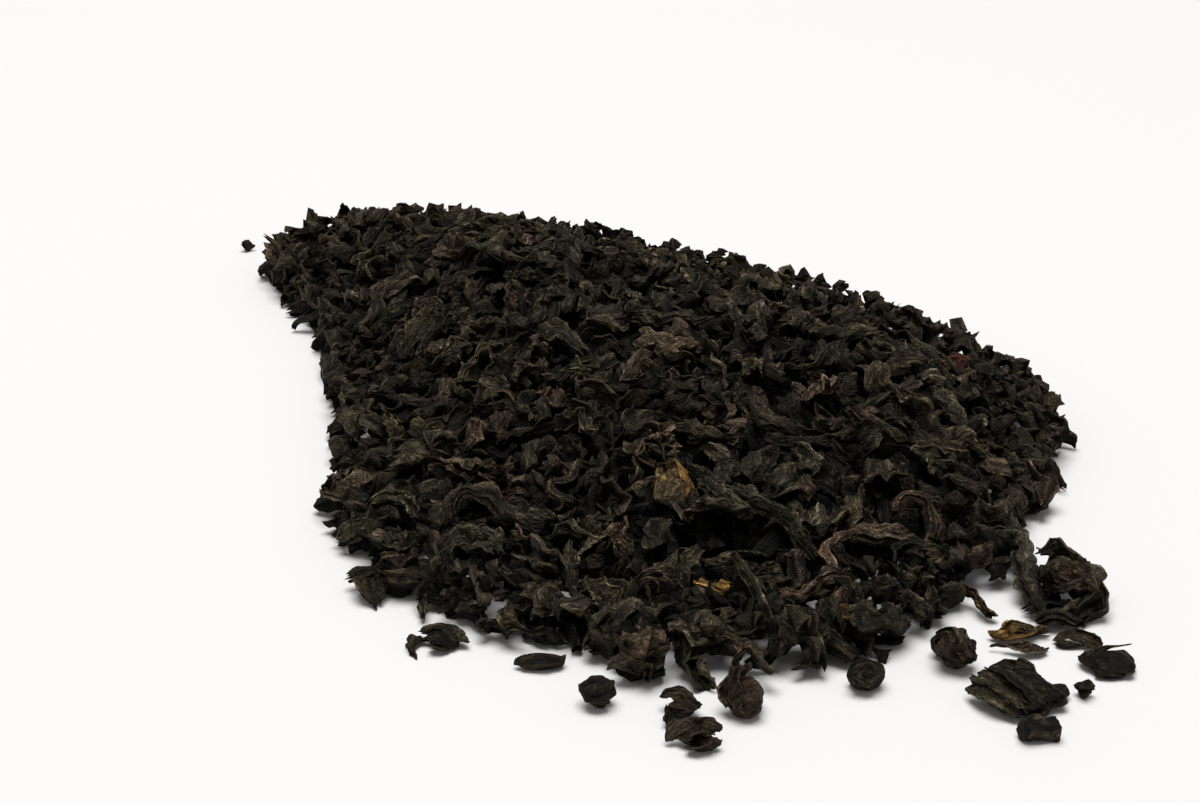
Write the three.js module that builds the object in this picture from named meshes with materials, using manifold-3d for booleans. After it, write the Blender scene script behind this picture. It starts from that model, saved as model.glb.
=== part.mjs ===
// Loose black tea, tipped out as a low heap on a bare surface, with a few leaves lying apart from it.
// Millimetres, +Z up. The surface is z = 0 and the origin is the middle of the footprint on it.
// +Y runs from the thin front edge of the heap to its high back, and +X to the right of that.
import * as THREE from "three";
import { mergeVertices } from "three/addons/utils/BufferGeometryUtils.js";
import Module from "manifold-3d";

const wasm = await Module();
wasm.setup();

// ---------------------------------------------------------------- driving dimensions

// Where the edge of the heap meets the surface, anticlockwise from the front.
const FOOT = [
  [2, -48], [8, -46], [15, -46], [22, -42.5], [27.5, -38.5], [32, -31], [39, -20], [44, -8],
  [47, 4], [44, 17], [34, 31], [20, 43], [4, 54], [-12, 62], [-27, 65], [-39, 61], [-43, 49],
  [-37, 36], [-33, 22], [-31, 8], [-29, -7], [-27.5, -19.5], [-20.5, -31], [-11, -39], [-3, -43],
];
const FOOT_SAMPLES = 100;
const HEAP_MIDDLE = [2, 6]; // every part of the edge can be seen from here

const FULL_HEIGHT = 14; // what the heap rises towards, far from its edge
const EDGE_RUN = 13; // the heap has 63% of its height this far in from its edge
const FRONT_SHARE = 0.42; // the front of the heap is only this share as high
const FRONT_Y = -50; // where that share holds
const BACK_Y = 22; // from here back the heap has its full height

const CORE_INSET = [1.2, 3.2]; // the ragged core stays this far inside the edge
const CORE_COVER = 1.4; // and about this far under the tops of the leaves
const CORE_RINGS = 11;
const CORE_RIM = [0.6, 1.8]; // height of the core at its own edge
const CORE_RELIEF = 1; // bumps on the core, as deep as the leaves that make them
const CORE_STRAY = 0.8; // how far the bumps stray sideways from an even spread
const FLOOR_CUT = 10; // thickness of the slab that trims whatever pokes below the surface
const FINEST = 0.02; // edges shorter than this are closed up
const FLAT_SPOT = 0.12; // how far a leaf that lies apart is worn flat where it rests

const LEAF_THICKNESS = 0.5; // a dried leaf with its small folds
const SUNK = 0.35; // share of its width that a leaf is sunk into the heap
const SEED = 1906;

// Leaves that stand out in the heap. Turn, pitch and roll are in degrees.
const STANDOUT = [
  { kind: "twist", x: 11, y: -25.5, turn: -48, length: 13.5, width: 3.2 },
  { kind: "curl", x: -15.3, y: -29, turn: 5, length: 8.5, width: 4.4 },
  { kind: "curl", x: 23.6, y: -28.5, turn: 10, length: 7.5, width: 3 },
  { kind: "twist", x: 19, y: -32.5, turn: 35, length: 9, width: 1.2 },
  { kind: "stalk", x: 12.5, y: -41, turn: -70, length: 9, width: 1.4, pitch: 12 },
  { kind: "flake", x: 5, y: -26, turn: 85, length: 6.5, width: 2.6, pitch: -20 },
  { kind: "flake", x: -0.4, y: -30.4, turn: 70, length: 4, width: 3, pitch: -30 },
  { kind: "flake", x: 8.2, y: -38, turn: 0, length: 3.4, width: 2 },
  { kind: "flake", x: -10.4, y: -20.5, turn: 20, length: 3, width: 2.4 },
  { kind: "pellet", x: 19.6, y: -40, turn: 80, length: 3, width: 2.8 },
  { kind: "curl", x: 1.6, y: -46.4, turn: 15, length: 6, width: 3.4, roll: 150 },
  { kind: "curl", x: -23.4, y: -18, turn: 50, length: 6, width: 3.6, roll: 40 },
  { kind: "twist", x: -20.5, y: -24.5, turn: -15, length: 5, width: 2.2 },
  { kind: "stalk", x: -27, y: -12.5, turn: 178, length: 6, width: 2.2 },
  { kind: "stalk", x: -35, y: 32.5, turn: -15, length: 7, width: 1 },
  { kind: "pellet", x: -30.2, y: 13.5, turn: 40, length: 4.6, width: 4.2 },
  { kind: "pellet", x: -28.3, y: -2, turn: 100, length: 4.2, width: 3.8 },
  { kind: "twist", x: -31, y: 56, turn: 60, length: 7, width: 3, pitch: -50 },
  { kind: "flake", x: -22, y: 52, turn: 150, length: 5, width: 3.4, pitch: -45 },
  { kind: "stalk", x: -9.5, y: 47, turn: 40, length: 7, width: 0.9, pitch: -55 },
  { kind: "twist", x: -4.5, y: 46, turn: 100, length: 6.5, width: 2.2, pitch: -40 },
  { kind: "stalk", x: 43, y: -3.5, turn: 20, length: 5, width: 0.8, pitch: -70 },
  { kind: "curl", x: 37.8, y: -17.5, turn: 80, length: 5.5, width: 3.4 },
  { kind: "curl", x: 35.4, y: -24.4, turn: -50, length: 6, width: 3.2 },
  { kind: "twist", x: 37.2, y: -28.2, turn: -74, length: 15.6, width: 2.6 },
  { kind: "twist", x: 39.4, y: -35.4, turn: 12, length: 5.6, width: 2.4 },
  { kind: "curl", x: 41, y: -30.6, turn: 75, length: 9.4, width: 5.4, roll: 125 },
  { kind: "stalk", x: 31.4, y: -32.6, turn: -66, length: 7.6, width: 1.4 },
  { kind: "pellet", x: -25.2, y: -20.6, turn: 10, length: 3.4, width: 2.2 },
];

// The other leaves that show on the heap, largest first. Spacing is the least distance between two
// middles, and tilt is in degrees. Those at the edge lie less than EDGE_BAND inside it.
const EDGE_BAND = 3;
const SCATTER = [
  { kind: "twist", count: 28, length: [8, 13], width: [1.8, 2.6], spacing: 6, tilt: 14 },
  { kind: "curl", count: 10, length: [5, 7.5], width: [3, 4], spacing: 5.5, tilt: 20, edge: true },
  { kind: "twist", count: 16, length: [5, 8], width: [1.6, 2.4], spacing: 4.8, tilt: 10, edge: true },
  { kind: "curl", count: 26, length: [5.5, 8.5], width: [3.4, 4.6], spacing: 5, tilt: 26 },
  { kind: "stalk", count: 8, length: [6, 10], width: [1, 1.4], spacing: 4.6, tilt: 20 },
  { kind: "pellet", count: 10, length: [3, 4.2], width: [2.4, 3.2], spacing: 4, tilt: 40, edge: true },
  { kind: "flake", count: 14, length: [4, 6], width: [3, 4.2], spacing: 4.2, tilt: 34 },
  { kind: "pellet", count: 8, length: [3, 4.2], width: [2.6, 3.4], spacing: 4, tilt: 40 },
];

// Leaves that lie apart from the heap, each a node of its own, at least CLEARANCE from it.
const CLEARANCE = 0.35;
const APART = [
  { name: "front_flake", kind: "curl", x: 5.8, y: -57.8, turn: -12, length: 4.2, width: 3.2, roll: 160 },
  { name: "front_pellet", kind: "pellet", x: -2.2, y: -51, turn: 30, length: 3.3, width: 2.9 },
  { name: "front_hook", kind: "twist", x: 4.9, y: -53, turn: 65, length: 4.4, width: 2.6 },
  { name: "front_knot", kind: "pellet", x: 9.9, y: -52, turn: 20, length: 4.4, width: 4.4, pitch: -80 },
  { name: "rolled_leaf", kind: "roll", x: 21.2, y: -48, turn: -78, length: 3.2, width: 3.6 },
  { name: "left_leaf", kind: "flake", x: -23.2, y: -32, turn: -65, length: 4.8, width: 3.2, roll: 25 },
  { name: "left_fold", kind: "curl", x: -16.6, y: -40.9, turn: -25, length: 5, width: 2.8 },
  { name: "oval_chip", kind: "pellet", x: -7.3, y: -44.6, turn: 8, length: 4.6, width: 1.9 },
  { name: "right_pellet", kind: "pellet", x: 29.3, y: -44, turn: 78, length: 5.2, width: 3.9 },
  { name: "right_clump", kind: "curl", x: 34, y: -50.4, turn: -28, length: 7.4, width: 5.4, roll: 170 },
  { name: "right_block", kind: "pellet", x: 34.8, y: -56.4, turn: 4, length: 3.6, width: 2.3 },
  { name: "right_crumb", kind: "pellet", x: 39.9, y: -49.6, turn: 45, length: 2, width: 1.8 },
  { name: "right_curl", kind: "curl", x: 42.6, y: -44.6, turn: -35, length: 4, width: 2.8 },
  { name: "right_twist", kind: "twist", x: 40.8, y: -40.4, turn: -12, length: 4.6, width: 1.7 },
  { name: "low_curl", kind: "twist", x: 35.4, y: -42.2, turn: 8, length: 5.2, width: 1.6 },
  { name: "golden_stem", kind: "stalk", x: 35.9, y: -38.7, turn: 14, length: 5.6, width: 1.8 },
  { name: "back_crumb", kind: "pellet", x: -46.2, y: 60, turn: 0, length: 1.7, width: 1.5 },
];

const LEAF_COLOURS = { tea_heap: 0x1d1814, golden_stem: 0x6b4420 };
const OTHER_LEAF_COLOUR = 0x1f1a16;

// ---------------------------------------------------------------- repeatable chance

function seededDraw(seed) {
  let state = seed >>> 0;
  return () => {
    state = (state + 0x6d2b79f5) >>> 0;
    let t = Math.imul(state ^ (state >>> 15), state | 1);
    t ^= t + Math.imul(t ^ (t >>> 7), t | 61);
    return ((t ^ (t >>> 14)) >>> 0) / 4294967296;
  };
}

const between = (draw, low, high) => low + (high - low) * draw();

// ---------------------------------------------------------------- the form of the heap

const footCurve = new THREE.CatmullRomCurve3(
  FOOT.map(([x, y]) => new THREE.Vector3(x, y, 0)), true, "catmullrom", 0.5,
);
const foot = Array.from({ length: FOOT_SAMPLES }, (_, i) => footCurve.getPoint(i / FOOT_SAMPLES));

// Distance in from the edge of the heap, negative outside it.
function distanceInside(x, y) {
  let nearest = Infinity;
  let inside = false;
  foot.forEach((a, i) => {
    const b = foot[(i + 1) % FOOT_SAMPLES];
    const along = ((x - a.x) * (b.x - a.x) + (y - a.y) * (b.y - a.y)) / a.distanceToSquared(b);
    const t = THREE.MathUtils.clamp(along, 0, 1);
    nearest = Math.min(nearest, Math.hypot(x - a.x - t * (b.x - a.x), y - a.y - t * (b.y - a.y)));
    if (a.y > y !== b.y > y && x < a.x + ((y - a.y) / (b.y - a.y)) * (b.x - a.x)) inside = !inside;
  });
  return inside ? nearest : -nearest;
}

// Height of the tops of the leaves over a point of the surface.
function heapHeight(x, y) {
  const inside = distanceInside(x, y);
  if (inside <= 0) return 0;
  const back = THREE.MathUtils.smoothstep(y, FRONT_Y, BACK_Y);
  const share = THREE.MathUtils.lerp(FRONT_SHARE, 1, back);
  return FULL_HEIGHT * share * (1 - Math.exp(-inside / EDGE_RUN));
}

function heapNormal(x, y) {
  const step = 1.5;
  const dx = (heapHeight(x + step, y) - heapHeight(x - step, y)) / (2 * step);
  const dy = (heapHeight(x, y + step) - heapHeight(x, y - step)) / (2 * step);
  return new THREE.Vector3(-dx, -dy, 1).normalize();
}

// ---------------------------------------------------------------- solids from rings and sheets

function geometryOf(points, faces) {
  return new THREE.BufferGeometry()
    .setAttribute("position", new THREE.Float32BufferAttribute(points.flatMap((p) => p.toArray()), 3))
    .setIndex(faces.flat());
}

// A closed body from rings of points along X, each ring anticlockwise seen from +X.
function bodyFromRings(rings) {
  const sides = rings[0].length;
  const last = (rings.length - 1) * sides;
  const points = rings.flat();
  const middles = [rings[0], rings.at(-1)].map((ring) => {
    const sum = ring.reduce((total, p) => total.add(p), new THREE.Vector3());
    return points.push(sum.divideScalar(sides)) - 1;
  });
  const faces = [];
  for (let s = 0; s < sides; s++) {
    const next = (s + 1) % sides;
    faces.push([next, s, middles[0]], [last + s, last + next, middles[1]]);
    for (let r = 0; r < last; r += sides) {
      faces.push([r + s, r + next, r + next + sides], [r + s, r + next + sides, r + s + sides]);
    }
  }
  return geometryOf(points, faces);
}

// A thin closed body from a grid of middle points, both faces split into triangles alike.
function bodyFromSheet(rows, thickness) {
  const across = rows[0].length;
  const count = rows.length * across;
  const clamp = THREE.MathUtils.clamp;
  const at = (i, j) => rows[clamp(i, 0, rows.length - 1)][clamp(j, 0, across - 1)];
  const top = [];
  const bottom = [];
  rows.forEach((row, i) =>
    row.forEach((middle, j) => {
      const along = new THREE.Vector3().subVectors(at(i + 1, j), at(i - 1, j));
      const side = new THREE.Vector3().subVectors(at(i, j + 1), at(i, j - 1));
      const half = along.cross(side).normalize().multiplyScalar(thickness / 2);
      top.push(middle.clone().add(half));
      bottom.push(middle.clone().sub(half));
    }),
  );
  const faces = [];
  for (let i = 0; i + 1 < rows.length; i++) {
    for (let j = 0; j + 1 < across; j++) {
      const a = i * across + j;
      const [b, c, d] = [a + across, a + across + 1, a + 1];
      faces.push([a, b, c], [a, c, d], [count + a, count + c, count + b], [count + a, count + d, count + c]);
    }
  }
  const rim = [];
  for (let j = 0; j + 1 < across; j++) rim.push(j);
  for (let i = 0; i + 1 < rows.length; i++) rim.push(i * across + across - 1);
  for (let j = across - 1; j > 0; j--) rim.push((rows.length - 1) * across + j);
  for (let i = rows.length - 1; i > 0; i--) rim.push(i * across);
  rim.forEach((a, k) => {
    const b = rim[(k + 1) % rim.length];
    faces.push([a, b, count + b], [a, count + b, count + a]);
  });
  return geometryOf([...top, ...bottom], faces);
}

// ---------------------------------------------------------------- kinds of leaf

// Each leaf is made along X with its middle at the origin. One that is seen from all round, because
// it lies apart, is made fine: with more spans and sides.
const leafKinds = {
  // A leaf rolled and twisted lengthways: a ridged section that turns as it goes, thin at both ends.
  twist({ length, width }, draw, fine) {
    const [spans, sides] = fine ? [6, 5] : [length > 7 ? 4 : 3, 4];
    const turns = between(draw, 0.3, 0.6);
    const bow = between(draw, 0.06, 0.2) * length;
    const phase = between(draw, 0, Math.PI);
    return bodyFromRings(Array.from({ length: spans + 1 }, (_, i) => {
      const u = i / spans;
      const thick = (width / 2) * (0.34 + 0.66 * Math.sin(Math.PI * (0.08 + 0.84 * u)));
      const lump = thick * between(draw, 0.85, 1.15);
      const sway = bow * Math.sin(Math.PI * u + phase);
      const lift = 0.3 * bow * Math.sin(2 * Math.PI * u + phase);
      return Array.from({ length: sides }, (__, s) => {
        const angle = 2 * Math.PI * (s / sides + turns * u);
        const radius = lump * (s % 2 ? 0.72 : 1);
        return new THREE.Vector3(
          (u - 0.5) * length,
          sway + Math.cos(angle) * radius,
          lift + 0.85 * Math.sin(angle) * radius,
        );
      });
    }));
  },

  // A leaf half rolled up across its width, open above, wider at one end.
  curl({ length, width }, draw, fine) {
    const [spans, across] = fine ? [3, 5] : [2, 3];
    const opening = between(draw, 3, 4.2); // how far round the section goes, in radians
    const skew = between(draw, -0.5, 0.5);
    const rows = Array.from({ length: spans + 1 }, (_, i) => {
      const u = i / spans;
      const belly = 0.55 + 0.45 * Math.sin(Math.PI * (0.15 + 0.6 * u));
      const radius = (width / 2) * belly * between(draw, 0.9, 1.1);
      return Array.from({ length: across + 1 }, (__, j) => {
        const angle = opening * (j / across - 0.5) + skew * (2 * u - 1) - Math.PI / 2;
        const torn = between(draw, -0.06, 0.06) * length * (i % spans === 0 ? 1 : 0.2);
        return new THREE.Vector3(
          (u - 0.5) * length + torn,
          Math.cos(angle) * radius,
          0.8 * Math.sin(angle) * radius,
        );
      });
    });
    return bodyFromSheet(rows, LEAF_THICKNESS);
  },

  // A broken bit of leaf, lightly folded and torn at its edge.
  flake({ length, width }, draw, fine) {
    const [spans, across] = fine ? [3, 3] : [2, 2];
    const fold = between(draw, 0.25, 0.5) * width;
    const wave = between(draw, 0.1, 0.25) * width;
    const phase = between(draw, 0, 2 * Math.PI);
    const rows = Array.from({ length: spans + 1 }, (_, i) => {
      const u = i / spans - 0.5;
      const outline = Math.sqrt(Math.max(0.12, 1 - 3 * u * u));
      return Array.from({ length: across + 1 }, (__, j) => {
        const v = j / across - 0.5;
        return new THREE.Vector3(
          u * length * (1 - 0.5 * v * v) + between(draw, -0.05, 0.05) * length,
          v * width * outline + between(draw, -0.05, 0.05) * width,
          fold * (2 * Math.abs(v) - 0.4) + wave * Math.sin(6 * u + phase + 3 * v),
        );
      });
    });
    return bodyFromSheet(rows, LEAF_THICKNESS);
  },

  // A leaf rolled up into a little ball: lobes round its waist and a pinched end.
  pellet({ length, width }, draw, fine) {
    const [spans, sides] = fine ? [4, 7] : [3, 5];
    return bodyFromRings(Array.from({ length: spans + 1 }, (_, i) => {
      const u = i / spans;
      const girth = (width / 2) * Math.max(0.3, Math.sin(Math.PI * (0.12 + 0.8 * u)));
      return Array.from({ length: sides }, (__, s) => {
        const angle = 2 * Math.PI * (s / sides) + 0.5 * u;
        const radius = girth * (1 + 0.1 * Math.sin(3 * angle)) * between(draw, 0.92, 1.08);
        return new THREE.Vector3((u - 0.5) * length, Math.cos(angle) * radius, Math.sin(angle) * radius);
      });
    }));
  },

  // A bit of leaf stalk: a thin rod with a kink.
  stalk({ length, width }, draw, fine) {
    const [spans, sides] = fine ? [3, 5] : [2, 4];
    const kink = between(draw, 0.08, 0.18) * length;
    return bodyFromRings(Array.from({ length: spans + 1 }, (_, i) => {
      const u = i / spans;
      const radius = (width / 2) * (1.15 - 0.3 * u);
      return Array.from({ length: sides }, (__, s) => {
        const angle = (2 * Math.PI * s) / sides;
        return new THREE.Vector3(
          (u - 0.5) * length,
          1.2 * Math.cos(angle) * radius + kink * (1 - Math.abs(2 * u - 1)),
          0.8 * Math.sin(angle) * radius,
        );
      });
    }));
  },

  // A leaf wound up like a carpet, its spiral showing at both ends.
  roll({ length, width }, draw) {
    const [spans, across] = [1, 12];
    const winds = 1.75;
    const heart = 0.15 * width;
    const outer = (width - LEAF_THICKNESS) / 2;
    const rows = Array.from({ length: spans + 1 }, (_, i) =>
      Array.from({ length: across + 1 }, (__, j) => {
        const v = j / across;
        const angle = 2 * Math.PI * winds * v;
        const radius = THREE.MathUtils.lerp(heart, outer, v);
        return new THREE.Vector3(
          (i / spans - 0.5) * length * (0.8 + 0.2 * v),
          Math.cos(angle) * radius,
          Math.sin(angle) * radius,
        );
      }),
    );
    return bodyFromSheet(rows, 0.7 * LEAF_THICKNESS);
  },
};

// ---------------------------------------------------------------- joining and cutting

function solidOf(geometry) {
  const bare = geometry.clone().deleteAttribute("normal").deleteAttribute("uv");
  const merged = mergeVertices(bare, 1e-4);
  return new wasm.Manifold(new wasm.Mesh({
    numProp: 3,
    vertProperties: merged.getAttribute("position").array,
    triVerts: new Uint32Array(merged.index.array),
  }));
}

function geometryFrom(solid) {
  const mesh = solid.getMesh();
  return new THREE.BufferGeometry()
    .setAttribute("position", new THREE.BufferAttribute(mesh.vertProperties, 3))
    .setIndex(new THREE.BufferAttribute(mesh.triVerts, 1));
}

const belowSurface = solidOf(new THREE.BoxGeometry(400, 400, FLOOR_CUT).translate(0, 0, -FLOOR_CUT / 2));

// ---------------------------------------------------------------- the heap

// The packed inside of the heap. Ring k of its top has 6k points, so the bumps are evenly spread.
function coreGeometry() {
  const draw = seededDraw(SEED);
  const middle = new THREE.Vector3(...HEAP_MIDDLE, 0);
  const points = [middle.clone().setZ(heapHeight(...HEAP_MIDDLE) - CORE_COVER)];
  const start = [0];
  for (let ring = 1; ring <= CORE_RINGS; ring++) {
    start.push(points.length);
    for (let k = 0; k < 6 * ring; k++) {
      const out = footCurve.getPointAt(k / (6 * ring)).sub(middle);
      const inset = between(draw, ...CORE_INSET);
      const p = out.multiplyScalar((ring / CORE_RINGS) * (1 - inset / out.length())).add(middle);
      const bump = between(draw, -CORE_RELIEF, CORE_RELIEF);
      if (ring < CORE_RINGS) {
        p.x += between(draw, -CORE_STRAY, CORE_STRAY);
        p.y += between(draw, -CORE_STRAY, CORE_STRAY);
        p.z = Math.max(CORE_RIM[1], heapHeight(p.x, p.y) - CORE_COVER + bump);
      } else {
        p.z = between(draw, ...CORE_RIM);
      }
      points.push(p);
    }
  }
  const faces = [];
  for (let ring = 1; ring <= CORE_RINGS; ring++) {
    for (let side = 0; side < 6; side++) {
      for (let k = 0; k < ring; k++) {
        const outer = (step) => start[ring] + ((side * ring + k + step) % (6 * ring));
        const inner = (step) => start[ring - 1] + ((side * (ring - 1) + k + step) % (6 * (ring - 1) || 1));
        faces.push([inner(0), outer(0), outer(1)]);
        if (k + 1 < ring) faces.push([inner(0), outer(1), inner(1)]);
      }
    }
  }
  const rimCount = 6 * CORE_RINGS;
  const rim = start[CORE_RINGS];
  const sole = points.length;
  for (let k = 0; k < rimCount; k++) points.push(points[rim + k].clone().setZ(0));
  const base = points.push(middle) - 1;
  for (let k = 0; k < rimCount; k++) {
    const next = (k + 1) % rimCount;
    faces.push([rim + k, sole + k, sole + next], [rim + k, sole + next, rim + next]);
    faces.push([base, sole + next, sole + k]);
  }
  return geometryOf(points, faces);
}

// The leaves that stand out, then the others: a draw is kept if it is clear of those before it.
function heapLeaves() {
  const draw = seededDraw(SEED + 1);
  const leaves = [...STANDOUT];
  for (const sort of SCATTER) {
    let placed = 0;
    for (let tries = 0; tries < 6000 && placed < sort.count; tries++) {
      const x = between(draw, -45, 48);
      const y = between(draw, -50, 66);
      const inside = distanceInside(x, y);
      if (inside < 0.6 || (sort.edge && inside > EDGE_BAND)) continue;
      if (leaves.some((l) => Math.hypot(l.x - x, l.y - y) < sort.spacing)) continue;
      leaves.push({
        kind: sort.kind,
        x,
        y,
        turn: between(draw, 0, 360),
        pitch: between(draw, -sort.tilt, sort.tilt),
        roll: between(draw, -sort.tilt, sort.tilt),
        length: between(draw, ...sort.length),
        width: between(draw, ...sort.width),
      });
      placed += 1;
    }
  }
  return leaves;
}

function turnedLeaf({ turn, pitch = 0, roll = 0 }) {
  const degrees = THREE.MathUtils.degToRad;
  return new THREE.Quaternion().setFromEuler(
    new THREE.Euler(degrees(roll), degrees(pitch), degrees(turn), "ZYX"),
  );
}

// Lays a leaf on the heap's slope, turned and tilted as it fell.
function layOnHeap(geometry, leaf) {
  const up = new THREE.Vector3(0, 0, 1);
  const slope = new THREE.Quaternion().setFromUnitVectors(up, heapNormal(leaf.x, leaf.y));
  const height = Math.max(heapHeight(leaf.x, leaf.y) - SUNK * leaf.width, 0.4 * leaf.width);
  return geometry.applyQuaternion(slope.multiply(turnedLeaf(leaf))).translate(leaf.x, leaf.y, height);
}

// The heap without the leaves that would come too near one lying apart.
function heapSolid(clearZone) {
  let heap = solidOf(coreGeometry());
  heapLeaves().forEach((leaf, i) => {
    const shape = leafKinds[leaf.kind](leaf, seededDraw(SEED + 103 + i), false);
    const solid = solidOf(layOnHeap(shape, leaf));
    if (solid.intersect(clearZone).isEmpty()) heap = heap.add(solid);
  });
  const bodies = heap.subtract(belowSurface).simplify(FINEST).decompose();
  return bodies.sort((a, b) => b.volume() - a.volume())[0]; // a leaf that touches nothing is dropped
}

// ---------------------------------------------------------------- leaves that lie apart

// Sets a leaf down on the surface, on a small flat spot.
function apartSolid(leaf, i) {
  const shape = leafKinds[leaf.kind](leaf, seededDraw(SEED + 500 + i), true);
  shape.applyQuaternion(turnedLeaf(leaf)).computeBoundingBox();
  shape.translate(leaf.x, leaf.y, -shape.boundingBox.min.z - FLAT_SPOT);
  return solidOf(shape).subtract(belowSurface);
}

// A box round a solid, larger than it by the clearance.
function clearBox(solid) {
  const { min, max } = solid.boundingBox();
  const box = new THREE.Box3(new THREE.Vector3(...min), new THREE.Vector3(...max));
  const size = box.expandByScalar(CLEARANCE).getSize(new THREE.Vector3());
  return solidOf(new THREE.BoxGeometry(...size).translate(...box.getCenter(new THREE.Vector3())));
}

// ---------------------------------------------------------------- the part

const part = new THREE.Group();

function addNode(name, solid) {
  const material = new THREE.MeshStandardMaterial({
    color: LEAF_COLOURS[name] ?? OTHER_LEAF_COLOUR,
    roughness: 0.6,
    metalness: 0,
  });
  const mesh = new THREE.Mesh(geometryFrom(solid), material);
  mesh.name = name;
  part.add(mesh);
}

const apartSolids = APART.map(apartSolid);
const clearZone = apartSolids.map(clearBox).reduce((zone, box) => zone.add(box));
addNode("tea_heap", heapSolid(clearZone));
APART.forEach((leaf, i) => addNode(leaf.name, apartSolids[i]));

// The origin is the middle of the whole footprint.
const footprint = new THREE.Box3().setFromObject(part);
const centre = footprint.getCenter(new THREE.Vector3());
part.children.forEach((mesh) => mesh.geometry.translate(-centre.x, -centre.y, 0));

export default part;
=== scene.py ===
"""Looks of a heap of loose black tea: each leaf that shows is its own mesh, laid on the heap's form."""

import logging
import math
from dataclasses import dataclass, field, replace
from enum import Enum

import bpy
import numpy as np
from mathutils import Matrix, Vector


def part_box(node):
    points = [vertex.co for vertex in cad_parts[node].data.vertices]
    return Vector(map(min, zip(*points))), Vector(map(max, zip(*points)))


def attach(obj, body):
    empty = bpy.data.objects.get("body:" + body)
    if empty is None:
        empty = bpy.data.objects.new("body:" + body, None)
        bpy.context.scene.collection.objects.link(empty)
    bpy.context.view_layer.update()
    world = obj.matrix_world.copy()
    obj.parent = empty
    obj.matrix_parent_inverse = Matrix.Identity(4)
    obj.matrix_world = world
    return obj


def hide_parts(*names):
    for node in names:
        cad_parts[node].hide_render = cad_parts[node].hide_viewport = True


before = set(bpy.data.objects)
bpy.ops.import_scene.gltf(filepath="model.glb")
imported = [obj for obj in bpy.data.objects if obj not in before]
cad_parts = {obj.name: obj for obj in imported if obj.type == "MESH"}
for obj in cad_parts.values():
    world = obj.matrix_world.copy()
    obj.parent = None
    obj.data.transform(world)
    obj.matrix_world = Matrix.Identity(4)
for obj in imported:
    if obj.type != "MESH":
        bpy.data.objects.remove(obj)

LOG = logging.getLogger("tea")

MM = 0.001  # the shapes below are worked out in millimetres
SEED = 1906
FULL_TURN = 2 * math.pi
FOOTPRINT_MIDDLE = (-0.169, 2.793)  # of the whole part, in the outline's own coordinates
UNDERSIDE_GRAIN = 40  # added to the grain on the underside of a sheet, to tell it from the top
TIP_START = 0.45  # share of a leaf's length at which it starts to take on its tip's colour
TIP_BLEND = 4  # how quickly it does so
CRUMPLE_WAVES = 8
CRUMPLE_LENGTHS = (0.8, 3.2)  # millimetres
PATCH_SHARE, PATCH_RIM = 0.94, 0.03  # of a leaf's square on the flat map: what it fills, and the rim
SHARP_EDGE = 34.0  # degrees between faces from which an edge stays sharp
GRAIN_STEP = 7.3  # from leaf to leaf, so that no two have the same grain
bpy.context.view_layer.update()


def smooth_between(four: list[np.ndarray], t: np.ndarray) -> np.ndarray:
    """Places on the smooth curve between the second and third of four points.

    Args:
        four: the four points that the curve goes through, one row for each place.
        t: how far each place lies from the second point to the third, from 0 to 1.

    Returns:
        One row for each place.
    """
    before, here, after, beyond = four
    rise, fall = (after - before) / 2, (beyond - here) / 2
    square = -3 * here + 3 * after - 2 * rise - fall
    cube = 2 * here - 2 * after + rise + fall
    return here + rise * t + square * t**2 + cube * t**3


# ---------------------------------------------------------------- the form of the heap


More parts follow.
